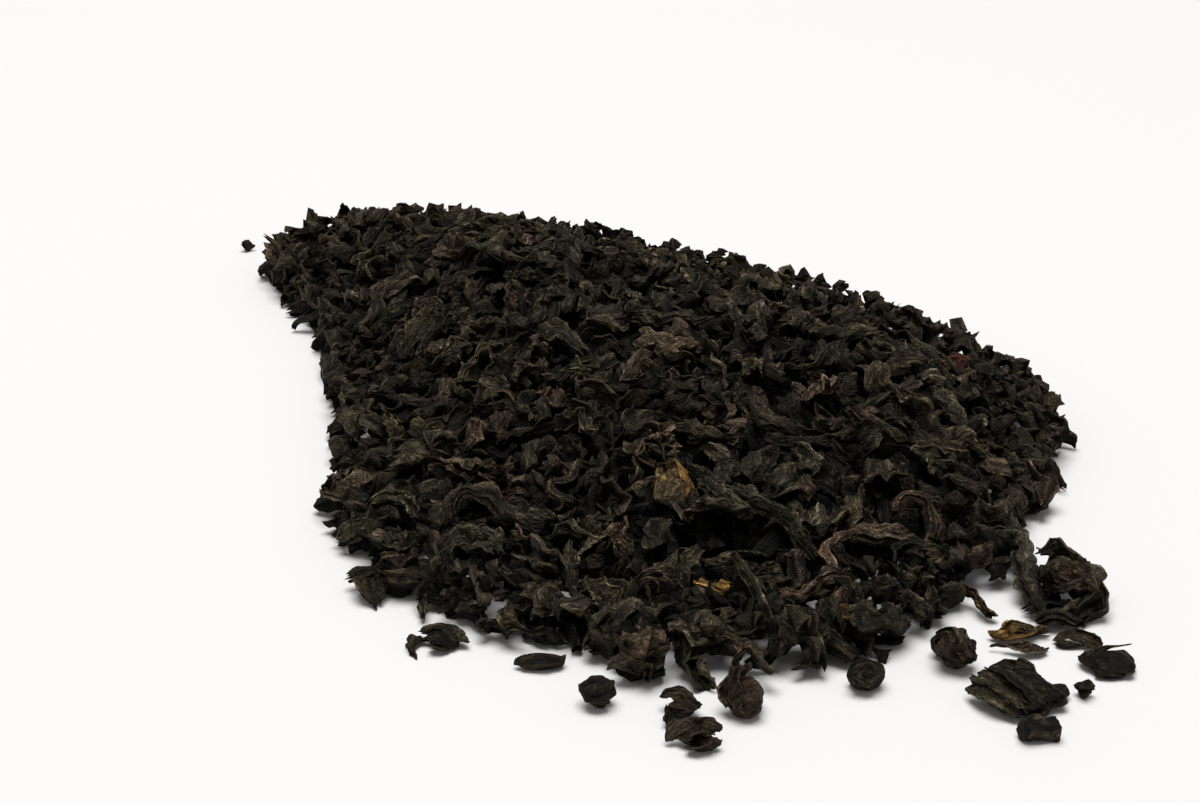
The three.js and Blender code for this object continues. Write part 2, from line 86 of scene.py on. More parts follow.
@dataclass
class HeapForm:
    """The outline and height of the heap, from the same sizes as its solid."""

    foot: tuple[tuple[float, float], ...] = (
        (2, -48), (8, -46), (15, -46), (22, -42.5), (27.5, -38.5), (32, -31), (39, -20), (44, -8),
        (47, 4), (44, 17), (34, 31), (20, 43), (4, 54), (-12, 62), (-27, 65), (-39, 61), (-43, 49),
        (-37, 36), (-33, 22), (-31, 8), (-29, -7), (-27.5, -19.5), (-20.5, -31), (-11, -39), (-3, -43),
    )
    middle: tuple[float, float] = (2.0, 6.0)
    samples: int = 100
    full_height: float = 14.0
    edge_run: float = 13.0
    front_share: float = 0.42
    front_y: float = -50.0
    back_y: float = 22.0
    slope_step: float = 1.5  # millimetres to each side over which a slope is taken
    outline: np.ndarray = field(init=False)

    def __post_init__(self) -> None:
        """Works the outline out from the points of the foot."""
        self.outline = self.along_foot(np.arange(self.samples) / self.samples)

    def along_foot(self, share: np.ndarray) -> np.ndarray:
        """Points on the smooth closed curve through the foot.

        Args:
            share: how far round the curve each point is, from 0 to 1.

        Returns:
            One row of x and y for each share.
        """
        foot = np.array(self.foot, float)
        place = share * len(foot)
        start = np.floor(place).astype(int)
        four = [foot[(start + k) % len(foot)] for k in (-1, 0, 1, 2)]
        return smooth_between(four, (place - start)[:, None])

    def distance_inside(self, x: np.ndarray, y: np.ndarray) -> np.ndarray:
        """Distance in from the outline, negative outside it.

        Args:
            x: one coordinate for each point.
            y: the other coordinate.

        Returns:
            One distance for each point.
        """
        a = self.outline
        b = np.roll(a, -1, axis=0)
        run = b - a
        px, py = np.atleast_1d(x)[..., None], np.atleast_1d(y)[..., None]
        t = ((px - a[:, 0]) * run[:, 0] + (py - a[:, 1]) * run[:, 1]) / (run**2).sum(axis=1)
        t = np.clip(t, 0, 1)
        near = np.hypot(px - a[:, 0] - t * run[:, 0], py - a[:, 1] - t * run[:, 1]).min(axis=-1)
        crosses = (a[:, 1] > py) != (b[:, 1] > py)
        with np.errstate(divide="ignore", invalid="ignore"):
            left = px < a[:, 0] + (py - a[:, 1]) / run[:, 1] * run[:, 0]
        inside = (crosses & left).sum(axis=-1) % 2 == 1
        return np.where(inside, near, -near)

    def height(self, x: np.ndarray, y: np.ndarray) -> np.ndarray:
        """Height of the tops of the leaves.

        Args:
            x: one coordinate for each point.
            y: the other coordinate.

        Returns:
            One height for each point.
        """
        inside = np.maximum(self.distance_inside(x, y), 0)
        back = np.clip((np.atleast_1d(y) - self.front_y) / (self.back_y - self.front_y), 0, 1)
        share = self.front_share + (1 - self.front_share) * back**2 * (3 - 2 * back)
        return self.full_height * share * (1 - np.exp(-inside / self.edge_run))

    def slope(self, x: float, y: float) -> np.ndarray:
        """The rotation that tips a level leaf to the slope of the heap.

        Args:
            x: one coordinate of the place.
            y: the other coordinate.

        Returns:
            A 3 by 3 rotation.
        """
        step = self.slope_step
        xs = np.array([x + step, x - step, x, x])
        ys = np.array([y, y, y + step, y - step])
        east, west, north, south = self.height(xs, ys)
        normal = np.array([(west - east) / (2 * step), (south - north) / (2 * step), 1.0])
        normal /= np.linalg.norm(normal)
        axis = np.array([-normal[1], normal[0], 0.0])
        cross = np.array([[0, -axis[2], axis[1]], [axis[2], 0, -axis[0]], [-axis[1], axis[0], 0]])
        return np.eye(3) + cross + cross @ cross / (1 + normal[2])


def turned(turn: float, pitch: float = 0.0, roll: float = 0.0) -> np.ndarray:
    """The rotation of a leaf that is rolled, then pitched, then turned.

    Args:
        turn: degrees about the vertical.
        pitch: degrees about the leaf's own width.
        roll: degrees about the leaf's own length.

    Returns:
        A 3 by 3 rotation.
    """
    (ct, cp, cr), (st, sp, sr) = (
        [f(math.radians(v)) for v in (turn, pitch, roll)] for f in (math.cos, math.sin)
    )
    about_z = np.array([[ct, -st, 0], [st, ct, 0], [0, 0, 1]])
    about_y = np.array([[cp, 0, sp], [0, 1, 0], [-sp, 0, cp]])
    about_x = np.array([[1, 0, 0], [0, cr, -sr], [0, sr, cr]])
    return about_z @ about_y @ about_x


# ---------------------------------------------------------------- shapes of leaves


class Tone(Enum):
    """What colour a leaf dried to."""

    BLACK = "black"
    BROWN = "brown"
    RUST = "rust"
    OLIVE = "olive"
    PALE = "pale"
    GOLD = "gold"
    STEM = "stem"
    TWIG = "twig"


TONE_COLOURS: dict[Tone, tuple[float, float, float]] = {
    Tone.BLACK: (0.0252, 0.0190, 0.0110),
    Tone.BROWN: (0.0405, 0.0270, 0.0160),
    Tone.RUST: (0.062, 0.0210, 0.0135),
    Tone.OLIVE: (0.0320, 0.0260, 0.0140),
    Tone.PALE: (0.0480, 0.0365, 0.0225),
    Tone.GOLD: (0.165, 0.088, 0.021),
    Tone.STEM: (0.078, 0.050, 0.021),
    Tone.TWIG: (0.068, 0.0445, 0.0275),
}
TONE_ODDS: dict[Tone, float] = {
    Tone.BLACK: 0.62, Tone.BROWN: 0.14, Tone.RUST: 0.001, Tone.OLIVE: 0.214, Tone.PALE: 0.025,
}


@dataclass
class LeafBatch:
    """Leaves of one make, which share one grid of points."""

    points: np.ndarray  # leaf, point, xyz, in millimetres about the leaf's own middle
    faces: np.ndarray  # face, corner: point numbers of one leaf
    corners: np.ndarray  # face, corner, uv: the leaf spread flat, from 0 to 1
    crest: np.ndarray  # leaf, point: 0 in a fold, 1 on a ridge
    grain: np.ndarray  # leaf, point, 2: millimetres along and across

    def one(self, number: int) -> "Leaf":
        """Takes one leaf out of the batch."""
        return Leaf(self.points[number], self.faces, self.corners, self.crest[number], self.grain[number])


@dataclass
class Leaf:
    """One leaf, with the data that its finish reads."""

    points: np.ndarray
    faces: np.ndarray
    corners: np.ndarray
    crest: np.ndarray
    grain: np.ndarray
    colour: tuple[float, float, float] = TONE_COLOURS[Tone.BLACK]
    tip: tuple[float, float, float] | None = None  # colour of the far end, where that differs
    shade: np.ndarray | float = 1.0  # point: how much light reaches down to it

    def placed(self, rotation: np.ndarray, shift: np.ndarray) -> "Leaf":
        """A copy that is turned and moved.

        Args:
            rotation: a 3 by 3 rotation.
            shift: x, y and z in millimetres.

        Returns:
            The moved leaf.
        """
        return replace(self, points=self.points @ rotation.T + shift)

    def colours(self) -> np.ndarray:
        """The colour of each point.

        Returns:
            One row of red, green, blue and 1 for each point.
        """
        colours = np.tile(np.array(self.colour), (len(self.points), 1))
        if self.tip is not None:
            along = self.grain[:, 0] % UNDERSIDE_GRAIN
            share = np.clip((along / along.max() - TIP_START) * TIP_BLEND, 0, 1)[:, None]
            colours = colours * (1 - share) + np.array(self.tip) * share
        colours *= np.broadcast_to(self.shade, len(colours))[:, None]
        return np.column_stack([colours, np.ones(len(colours))])


def smooth_chance(rng: np.random.Generator, count: int, steps: int, terms: int) -> np.ndarray:
    """Smooth random curves that swing about 0 by about 1.

    Args:
        rng: where the chance comes from.
        count: how many curves.
        steps: points on each.
        terms: how many waves make one up.

    Returns:
        One row for each curve.
    """
    u = np.linspace(0, 1, steps)
    total = np.zeros((count, steps))
    for k in range(1, terms + 1):
        size = rng.normal(0, 1 / math.sqrt(k), (count, 1))
        total += size * np.cos(math.pi * k * u + rng.uniform(0, FULL_TURN, (count, 1)))
    return total / math.sqrt(terms)


def crumpled(rng: np.random.Generator, points: np.ndarray, depth: float) -> np.ndarray:
    """Warps leaves by waves that run through them every way, as drying does.

    Args:
        rng: where the chance comes from.
        points: leaf, point, xyz, in millimetres.
        depth: height of each wave, as a share of its length.

    Returns:
        The warped points.
    """
    count, waves = len(points), CRUMPLE_WAVES
    length = rng.uniform(*CRUMPLE_LENGTHS, (count, waves, 1))
    way = unit(rng.normal(size=(count, waves, 3)))
    shove = unit(rng.normal(size=(count, waves, 3))) * length * depth
    phase = rng.uniform(0, FULL_TURN, (count, 1, waves))
    turn = np.einsum("npk,nwk->npw", points, way * FULL_TURN / length) + phase
    fold = 0.7 * np.arcsin(np.sin(turn)) + 0.2 * np.sin(turn)
    return points + np.einsum("npw,nwk->npk", fold, shove)


def unit(vectors: np.ndarray) -> np.ndarray:
    """Vectors of length 1 along the last axis."""
    return vectors / np.maximum(np.linalg.norm(vectors, axis=-1, keepdims=True), 1e-9)


def spun(across: np.ndarray, over: np.ndarray, angle: np.ndarray) -> tuple[np.ndarray, np.ndarray]:
    """Turns the sections of leaves about the line that they sit on.

    Args:
        across: how far each point lies to the side of the line.
        over: how far it lies above the line.
        angle: radians that each is turned.

    Returns:
        The two distances after the turn.
    """
    cos, sin = np.cos(angle), np.sin(angle)
    return across * cos - over * sin, across * sin + over * cos


@dataclass
class Spine:
    """The line that a leaf follows, with its sideways and upward directions."""

    centre: np.ndarray
    along: np.ndarray
    side: np.ndarray
    up: np.ndarray

    @classmethod
    def grown(
        cls, rng: np.random.Generator, length: np.ndarray, steps: int, bend: np.ndarray, wobble: float
    ) -> "Spine":
        """Grows one wandering line for each leaf.

        Args:
            rng: where the chance comes from.
            length: millimetres along each line.
            steps: points on each line.
            bend: radians that each line turns through, most of it at one place.
            wobble: how much else it wanders, in radians.

        Returns:
            The lines of all the leaves.
        """
        count = len(length)
        u = np.linspace(0, 1, steps)[None]
        place = rng.uniform(0.25, 0.75, (count, 1))
        sharp = rng.uniform(0.08, 0.3, (count, 1))
        elbow = 1 / (1 + np.exp(-np.clip((u - place) / sharp * 2, -30, 30)))
        yaw = bend[:, None] * elbow + wobble * smooth_chance(rng, count, steps, 5)
        pitch = 0.55 * wobble * smooth_chance(rng, count, steps, 4)
        along = np.stack([np.cos(yaw) * np.cos(pitch), np.sin(yaw) * np.cos(pitch), np.sin(pitch)], -1)
        centre = np.cumsum(along, axis=1) * (length[:, None, None] / (steps - 1))
        chord = centre[:, -1] - centre[:, 0]
        heading = np.arctan2(chord[:, 1], chord[:, 0])
        cos, sin = np.cos(heading), np.sin(heading)
        level = np.zeros((count, 3, 3))
        level[:, 0, 0], level[:, 0, 1] = cos, sin
        level[:, 1, 0], level[:, 1, 1] = -sin, cos
        level[:, 2, 2] = 1
        along = np.einsum("nij,nsj->nsi", level, along)
        centre = np.einsum("nij,nsj->nsi", level, centre)
        centre -= (centre.max(axis=1, keepdims=True) + centre.min(axis=1, keepdims=True)) / 2
        side = unit(np.stack([-along[..., 1], along[..., 0], np.zeros_like(along[..., 0])], -1))
        return cls(centre, along, side, np.cross(along, side))

    @classmethod
    def through(cls, places: np.ndarray, steps: int, roll: float) -> "Spine":
        """A smooth line through given places.

        Args:
            places: the places that it goes through, one row of x, y and z for each.
            steps: points on the line.
            roll: degrees that the leaf is rolled about it.

        Returns:
            The line of one leaf.
        """
        place = np.linspace(0, len(places) - 1, steps)
        start = np.minimum(place.astype(int), len(places) - 2)
        padded = np.concatenate([2 * places[:1] - places[1:2], places, 2 * places[-1:] - places[-2:-1]])
        centre = smooth_between([padded[start + k] for k in range(4)], (place - start)[:, None])
        along = unit(np.gradient(centre, axis=0))
        side = unit(np.stack([-along[:, 1], along[:, 0], np.zeros(steps)], -1))
        up = np.cross(along, side)
        cos, sin = math.cos(math.radians(roll)), math.sin(math.radians(roll))
        return cls(centre[None], along[None], (cos * side + sin * up)[None], (cos * up - sin * side)[None])

    def carried(self, across: np.ndarray, over: np.ndarray, shove: np.ndarray) -> np.ndarray:
        """Sets the sections of leaves along the line.

        Args:
            across: how far each point lies to the side, for each leaf, step and column.
            over: how far it lies above.
            shove: how far it is moved along.

        Returns:
            The points, in millimetres.
        """
        return (
            self.centre[:, :, None]
            + across[..., None] * self.side[:, :, None]
            + over[..., None] * self.up[:, :, None]
            + shove[..., None] * self.along[:, :, None]
        )


def tube_net(spans: int, sides: int) -> tuple[np.ndarray, np.ndarray]:
    """The faces of a closed tube and where they lie when it is spread flat.

    Args:
        spans: how many bands there are along it.
        sides: how many faces there are round it.

    Returns:
        The point numbers of each face's corners, and the flat places of the corners.
    """
    faces, corners = [], []
    tops = (spans + 1) * sides

    def at(i: int, j: int) -> tuple[int, tuple[float, float]]:
        """Point number and flat place of step i and side j."""
        return i * sides + j % sides, (0.05 + 0.9 * i / spans, j / sides)

    for j in range(sides):
        for i in range(spans):
            a, b, c, d = at(i, j), at(i, j + 1), at(i + 1, j + 1), at(i + 1, j)
            for three in ((a, b, c), (a, c, d)):
                faces.append([p for p, _ in three])
                corners.append([uv for _, uv in three])
        a, b = at(0, j), at(0, j + 1)
        faces.append([b[0], a[0], tops])
        corners.append([b[1], a[1], (0.0, (j + 0.5) / sides)])
        a, b = at(spans, j), at(spans, j + 1)
        faces.append([a[0], b[0], tops + 1])
        corners.append([a[1], b[1], (1.0, (j + 0.5) / sides)])
    return np.array(faces), np.array(corners)


@dataclass(frozen=True)
class RolledMake:
    """How a leaf is rolled up lengthways into a wiry twist with ridges along it."""

    spans: int = 24
    sides: int = 18
    ridge: float = 0.26  # height of the ridges, as a share of the radius
    lip: float = 0.3  # step where the outer edge of the roll lies on the inside
    trough: float = 0.8  # how far the section bows, as a share of the radius
    ends: tuple[float, float] = (0.2, 0.75)  # girth at the ends, as a share of the belly
    flat: tuple[float, float] = (0.45, 0.9)
    twist: tuple[float, float] = (0.1, 0.7)  # turns from end to end
    wobble: float = 0.4
    swell: float = 0.16  # how much the girth comes and goes along it
    taper: float = 0.0  # how much thinner the far end is
    knots: int = 6  # places along the leaf where its ridges change
    ragged: float = 0.45  # how far the ends are torn, as a share of the width
    crumple: float = 0.075
    jitter: float = 0.025  # millimetres

    def shape(
        self, rng: np.random.Generator, length: np.ndarray, width: np.ndarray, bend: np.ndarray,
        spine: Spine | None = None,
    ) -> LeafBatch:
        """Rolls up one leaf for each length.

        Args:
            rng: where the chance comes from.
            length: millimetres along each leaf.
            width: millimetres across each roll.
            bend: radians that each leaf bends through.
            spine: the line that the leaf follows, where that is given.

        Returns:
            The rolled leaves.
        """
        count, steps, sides = len(length), self.spans + 1, self.sides
        spine = spine or Spine.grown(rng, length, steps, bend, self.wobble)
        u = np.linspace(0, 1, steps)[None]
        belly = rng.uniform(0.3, 0.7, (count, 1))
        ends = rng.uniform(*self.ends, (count, 2))
        near = np.where(u < belly, u / belly, (1 - u) / (1 - belly))
        thin = np.where(u < belly, ends[:, :1], ends[:, 1:])
        girth = thin + (1 - thin) * np.sin(near * math.pi / 2) ** 0.8
        girth *= (1 + self.swell * smooth_chance(rng, count, steps, 8)) * (1 - self.taper * u**1.3)
        ridges = folded_columns(rng, count, steps, sides, self.knots)
        j = np.arange(sides) / sides
        belly_radius = (width[:, None] / 2 * girth)[..., None]
        radius = belly_radius * (1 + self.ridge * ridges + self.lip * (j - 0.5))
        angle = FULL_TURN * j
        flat = rng.uniform(*self.flat, (count, 1, 1))
        bow = self.trough * rng.uniform(-1, 1, (count, 1, 1))
        across, over = radius * np.cos(angle), radius * flat * np.sin(angle)
        over = over + bow * (across**2 / belly_radius - belly_radius / 2)
        turns = rng.uniform(*self.twist, (count, 1, 1)) * rng.choice([-1, 1], (count, 1, 1))
        spin = FULL_TURN * turns * u[..., None] + rng.uniform(0, FULL_TURN, (count, 1, 1))
        across, over = spun(across, over, spin)
        torn = self.ragged * width[:, None, None] * rng.uniform(-0.6, 1, (count, 2, sides))
        shove = torn[:, :1] * (1 - u[..., None]) ** 6 - torn[:, 1:] * u[..., None] ** 6
        points = spine.carried(across, over, shove)
        points = points + rng.normal(0, self.jitter, points.shape)
        points = crumpled(rng, points.reshape(count, -1, 3), self.crumple)
        pit = 0.5 * width[:, None] * (0.4 + ends)
        first = points[:, :sides].mean(axis=1) + spine.along[:, 0] * pit[:, :1]
        last = points[:, -sides:].mean(axis=1) - spine.along[:, -1] * pit[:, 1:]
        points = np.concatenate([points, first[:, None], last[:, None]], axis=1)
        crest = np.clip(0.5 + 0.5 * ridges, 0, 1).reshape(count, -1)
        crest = np.concatenate([crest, np.zeros((count, 2))], axis=1)
        grain = np.empty((count, steps, sides, 2))
        grain[..., 0] = (u * length[:, None])[..., None]
        grain[..., 1] = j * math.pi * width[:, None, None]
        grain = np.concatenate([grain.reshape(count, -1, 2), grain[:, 0, :1], grain[:, -1, :1]], axis=1)
        faces, corners = tube_net(self.spans, self.sides)
        return LeafBatch(points, faces, corners, crest, grain)


def folded_columns(rng: np.random.Generator, count: int, steps: int, wide: int, knots: int) -> np.ndarray:
    """Ridges and folds that run side by side along a leaf.

    Args:
        rng: where the chance comes from.
        count: how many leaves.
        steps: points along each.
        wide: ridges and folds across each, taken together.
        knots: places along the leaf where they change height.

    Returns:
        From -1 in a fold to 1 on a ridge, for each leaf, step and column.
    """
    side = np.where(np.arange(wide) % 2 == 0, 1.0, -1.0)
    side = side * np.where(rng.random((count, 1, wide)) < 0.22, -1, 1)
    size = rng.uniform(0.1, 1, (count, knots, wide)) * side
    place = np.linspace(0, knots - 1.001, steps)
    low = place.astype(int)
    blend = (place - low)[None, :, None]
    blend = blend * blend * (3 - 2 * blend)
    return size[:, low] * (1 - blend) + size[:, low + 1] * blend


@dataclass(frozen=True)
class SheetMake:
    """How an open leaf is crumpled: a thin sheet, pleated along its length and curled across it."""

    rows: int = 15
    columns: int = 13
    curl: tuple[float, float] = (0.3, 0.9)  # turns that the section goes round
    pleat: float = 0.62  # swing of the sharp pleats, in radians
    fold: float = 0.8  # swing of the wide folds, in radians
    folds: tuple[int, ...] = (1, 2, 3)  # wide folds across the leaf
    hem: float = 1.8  # how far the two edges curl over, in radians
    drift: float = 1.2  # how far the folds wander along the leaf, in radians
    tear: float = 0.2
    thickness: float = 0.17
    twist: tuple[float, float] = (0.0, 0.3)
    wobble: float = 0.4
    point: float = 0.45  # how pointed the two ends are, from 0 to 1
    knots: int = 5
    crumple: float = 0.08
    jitter: float = 0.025

    def shape(
        self, rng: np.random.Generator, length: np.ndarray, width: np.ndarray, bend: np.ndarray,
        spine: Spine | None = None,
    ) -> LeafBatch:
        """Crumples one leaf for each length.

        Args:
            rng: where the chance comes from.
            length: millimetres along each leaf.
            width: millimetres across each leaf if it lay flat.
            bend: radians that each leaf bends through.
            spine: the line that the leaf follows, where that is given.

        Returns:
            The crumpled leaves.
        """
        count, steps, wide = len(length), self.rows + 1, self.columns + 1
        spine = spine or Spine.grown(rng, length, steps, bend, self.wobble)
        u = np.linspace(0, 1, steps)[None]
        outline = np.sin(math.pi * (0.1 + 0.8 * u)) ** (0.25 + 1.3 * self.point)
        left, right = (
            0.5 * outline * (1 + self.tear * smooth_chance(rng, count, steps, 9)
                             + 0.5 * self.tear * rng.uniform(-1, 1, (count, steps)))
            for _ in range(2)
        )
        share = np.linspace(0, 1, wide)[None, None]
        v = -left[..., None] + (left + right)[..., None] * share
        between = (v[..., 1:] + v[..., :-1]) / 2
        curl = rng.uniform(*self.curl, (count, 1, 1))
        curl = curl * (1 + 0.35 * smooth_chance(rng, count, steps, 3)[..., None])
        angle = FULL_TURN * curl * between
        for k in self.folds:
            size = self.fold * rng.uniform(0.3, 1.3, (count, 1, 1)) / math.sqrt(k)
            phase = rng.uniform(0, FULL_TURN, (count, 1, 1))
            phase = phase + self.drift * smooth_chance(rng, count, steps, 4)[..., None]
            angle = angle + size * np.sin(FULL_TURN * k * between + phase)
        angle = angle + self.pleat * folded_columns(rng, count, steps, wide - 1, self.knots)
        place = np.abs(2 * np.arange(0.5, wide - 1) / (wide - 1) - 1)
        hems = self.hem * rng.uniform(-1, 1, (count, 2, 1))
        hems = hems * (1 + 0.5 * smooth_chance(rng, count, steps, 4)[:, None])
        hem = np.where(np.arange(wide - 1) * 2 < wide, -hems[:, 0, :, None], hems[:, 1, :, None])
        angle = angle + hem * np.clip((place - 0.6) / 0.4, 0, 1) ** 1.5
        run = np.diff(v, axis=2) * width[:, None, None]
        zero = np.zeros((count, steps, 1))
        across = np.concatenate([zero, np.cumsum(np.cos(angle) * run, axis=2)], axis=2)
        over = np.concatenate([zero, np.cumsum(np.sin(angle) * run, axis=2)], axis=2)
        across -= across.mean(axis=2, keepdims=True)
        over -= over.mean(axis=2, keepdims=True)
        turns = rng.uniform(*self.twist, (count, 1, 1)) * rng.choice([-1, 1], (count, 1, 1))
        spin = FULL_TURN * turns * (u[..., None] - 0.5)
        across, over = spun(across, over, spin)
        ragged = [0.14 * length[:, None, None] * self.end_tear(rng, count, wide) for _ in range(2)]
        shove = ragged[0] * (1 - u[..., None]) ** 3 - ragged[1] * u[..., None] ** 3
        middle = spine.carried(across, over, shove)
        middle = middle + rng.normal(0, self.jitter, middle.shape)
        middle = crumpled(rng, middle.reshape(count, -1, 3), self.crumple).reshape(middle.shape)
        along = np.gradient(middle, axis=1)
        sideways = np.gradient(middle, axis=2)
        half = unit(np.cross(along, sideways)) * self.thickness / 2
        points = np.concatenate(
            [(middle + half).reshape(count, -1, 3), (middle - half).reshape(count, -1, 3)], axis=1
        )
        bending = np.zeros((count, steps, wide))
        bending[..., 1:-1] = np.diff(angle, axis=2)
        top = np.clip(0.5 - 0.4 * bending, 0, 1)
        under = np.clip(0.5 + 0.4 * bending, 0, 1)
        # The edges count as ridges, so that they take the painted highlight of the rims.
        top[..., [0, -1]] = under[..., [0, -1]] = 1.0
        crest = np.concatenate([top.reshape(count, -1), under.reshape(count, -1)], axis=1)
        grain = np.empty((count, steps, wide, 2))
        grain[..., 0] = (u * length[:, None])[..., None]
        grain[..., 1] = v * width[:, None, None]
        grain = grain.reshape(count, -1, 2)
        faces, corners = self.net()
        grain = np.concatenate([grain, grain + UNDERSIDE_GRAIN], axis=1)
        return LeafBatch(points, faces, corners, crest, grain)

    @staticmethod
    def end_tear(rng: np.random.Generator, count: int, wide: int) -> np.ndarray:
        """How far the end of each leaf is torn back, for each column.

        Args:
            rng: where the chance comes from.
            count: how many leaves.
            wide: how many columns of points.

        Returns:
            From 0 to about 1, for each leaf and column.
        """
        wide_tears = np.abs(smooth_chance(rng, count, wide, 7))[:, None]
        return wide_tears + 0.35 * rng.uniform(0, 1, (count, 1, wide))

    def net(self) -> tuple[np.ndarray, np.ndarray]:
        """The faces of one sheet and where they lie when it is spread flat.

        Returns:
            The point numbers of each face's corners, and the flat places of the corners.
        """
        faces, corners = [], []
        wide, steps = self.columns + 1, self.rows + 1
        count = wide * steps

        def flat(p: int, back: bool) -> tuple[float, float]:
            """Flat place of a point on the front or the back."""
            i, j = divmod(p, wide)
            return (0.02 + 0.45 * j / self.columns + (0.5 if back else 0), 0.02 + 0.96 * i / self.rows)

        for i in range(self.rows):
            for j in range(self.columns):
                a = i * wide + j
                b, c, d = a + wide, a + wide + 1, a + 1
                for three in ((a, b, c), (a, c, d)):
                    faces.append(list(three))
                    corners.append([flat(p, False) for p in three])
                    faces.append([count + p for p in reversed(three)])
                    corners.append([flat(p, True) for p in reversed(three)])
        rim = list(range(self.columns)) + [i * wide + self.columns for i in range(self.rows)]
        rim += [self.rows * wide + j for j in range(self.columns, 0, -1)]
        rim += [i * wide for i in range(self.rows, 0, -1)]
        for a, b in zip(rim, rim[1:] + rim[:1]):
            ua, ub = flat(a, False), flat(b, False)
            va, vb = ((x + (x - 0.245) * 0.04, y + (y - 0.5) * 0.03) for x, y in (ua, ub))
            faces += [[a, b, count + b], [a, count + b, count + a]]
            corners += [[ua, ub, vb], [ua, vb, va]]
        return np.array(faces), np.array(corners)


@dataclass(frozen=True)
class LumpMake:
    """How a leaf is crushed into a lump, with sharp creases that run through it every way."""

    spans: int = 16
    sides: int = 24
    creases: int = 8
    finest: float = 7.0  # radians of the finest creases across half the lump
    depth: float = 0.3  # height of the creases, as a share of the radius
    flat: tuple[float, float] = (0.65, 1.0)
    square: float = 1.0  # 1 for a round lump, less for one with flat sides
    crumple: float = 0.1

    def shape(
        self, rng: np.random.Generator, length: np.ndarray, width: np.ndarray, bend: np.ndarray,
        spine: Spine | None = None,
    ) -> LeafBatch:
        """Crushes one leaf for each length.

        Args:
            rng: where the chance comes from.
            length: millimetres along each lump.
            width: millimetres across each lump.
            bend: not used, a lump has no length to bend.
            spine: not used either.

        Returns:
            The lumps.
        """
        count, steps, sides = len(length), self.spans + 1, self.sides
        polar = (np.arange(steps) + 0.5)[:, None] / steps * math.pi
        angle = FULL_TURN * np.arange(sides)[None] / sides
        way = np.stack([
            np.broadcast_to(-np.cos(polar), (steps, sides)),
            np.sin(polar) * np.cos(angle),
            np.sin(polar) * np.sin(angle),
        ], -1).reshape(-1, 3)
        waves = np.geomspace(2, self.finest, self.creases)[None, :, None]
        across, beside = (unit(rng.normal(size=(count, self.creases, 3))) for _ in range(2))
        phase = rng.uniform(0, FULL_TURN, (2, count, 1, self.creases))
        turn = np.einsum("pk,nwk->npw", way, across * waves) + phase[0]
        turn = turn + 0.9 * np.sin(2.2 * np.einsum("pk,nwk->npw", way, beside) + phase[1])
        size = rng.uniform(0.4, 1.2, (count, 1, self.creases)) * (2 / waves[..., 0])[:, None] ** 0.6
        relief = ((1 - 2 * np.abs(np.sin(turn))) * size).sum(axis=2) / math.sqrt(self.creases)
        flat = rng.uniform(*self.flat, (count, 1))
        half = np.stack([length[:, None], width[:, None], width[:, None] * flat], -1) / 2
        form = np.sign(way) * np.abs(way) ** self.square
        points = form * (1 + self.depth * relief)[..., None] * half
        points = crumpled(rng, points, self.crumple)
        first, last = points[:, :sides].mean(axis=1), points[:, -sides:].mean(axis=1)
        points = np.concatenate([points, first[:, None], last[:, None]], axis=1)
        crest = np.clip(0.5 + 0.45 * relief, 0, 1)
        crest = np.concatenate([crest, np.full((count, 2), 0.4)], axis=1)
        grain = np.empty((count, steps, sides, 2))
        grain[..., 0] = polar * length[:, None, None] / 2
        grain[..., 1] = angle * width[:, None, None] / 2
        grain = np.concatenate([grain.reshape(count, -1, 2), grain[:, 0, :1], grain[:, -1, :1]], axis=1)
        faces, corners = tube_net(self.spans, self.sides)
        return LeafBatch(points, faces, corners, crest, grain)


Make = RolledMake | SheetMake | LumpMake
Path = tuple[tuple[float, float, float], ...]


# ---------------------------------------------------------------- kinds of leaf


class Kind(Enum):
    """The kinds of leaf in the heap."""

    TWIST = "twist"
    SHORT = "short"
    HOOK = "hook"
    CURL = "curl"
    SCROLL = "scroll"
    FLAKE = "flake"
    PELLET = "pellet"
    STALK = "stalk"
    CRUMB = "crumb"
    STRAP = "strap"
    SHEET = "sheet"
    WIRE = "wire"


@dataclass(frozen=True)
class Habit:
    """How one kind of leaf grows and dries."""

    make: Make
    bend: tuple[float, float]  # radians that it bends through along its length
    spread: tuple[float, float] = (1.0, 1.0)  # length and width spread out, as shares of those it lies with


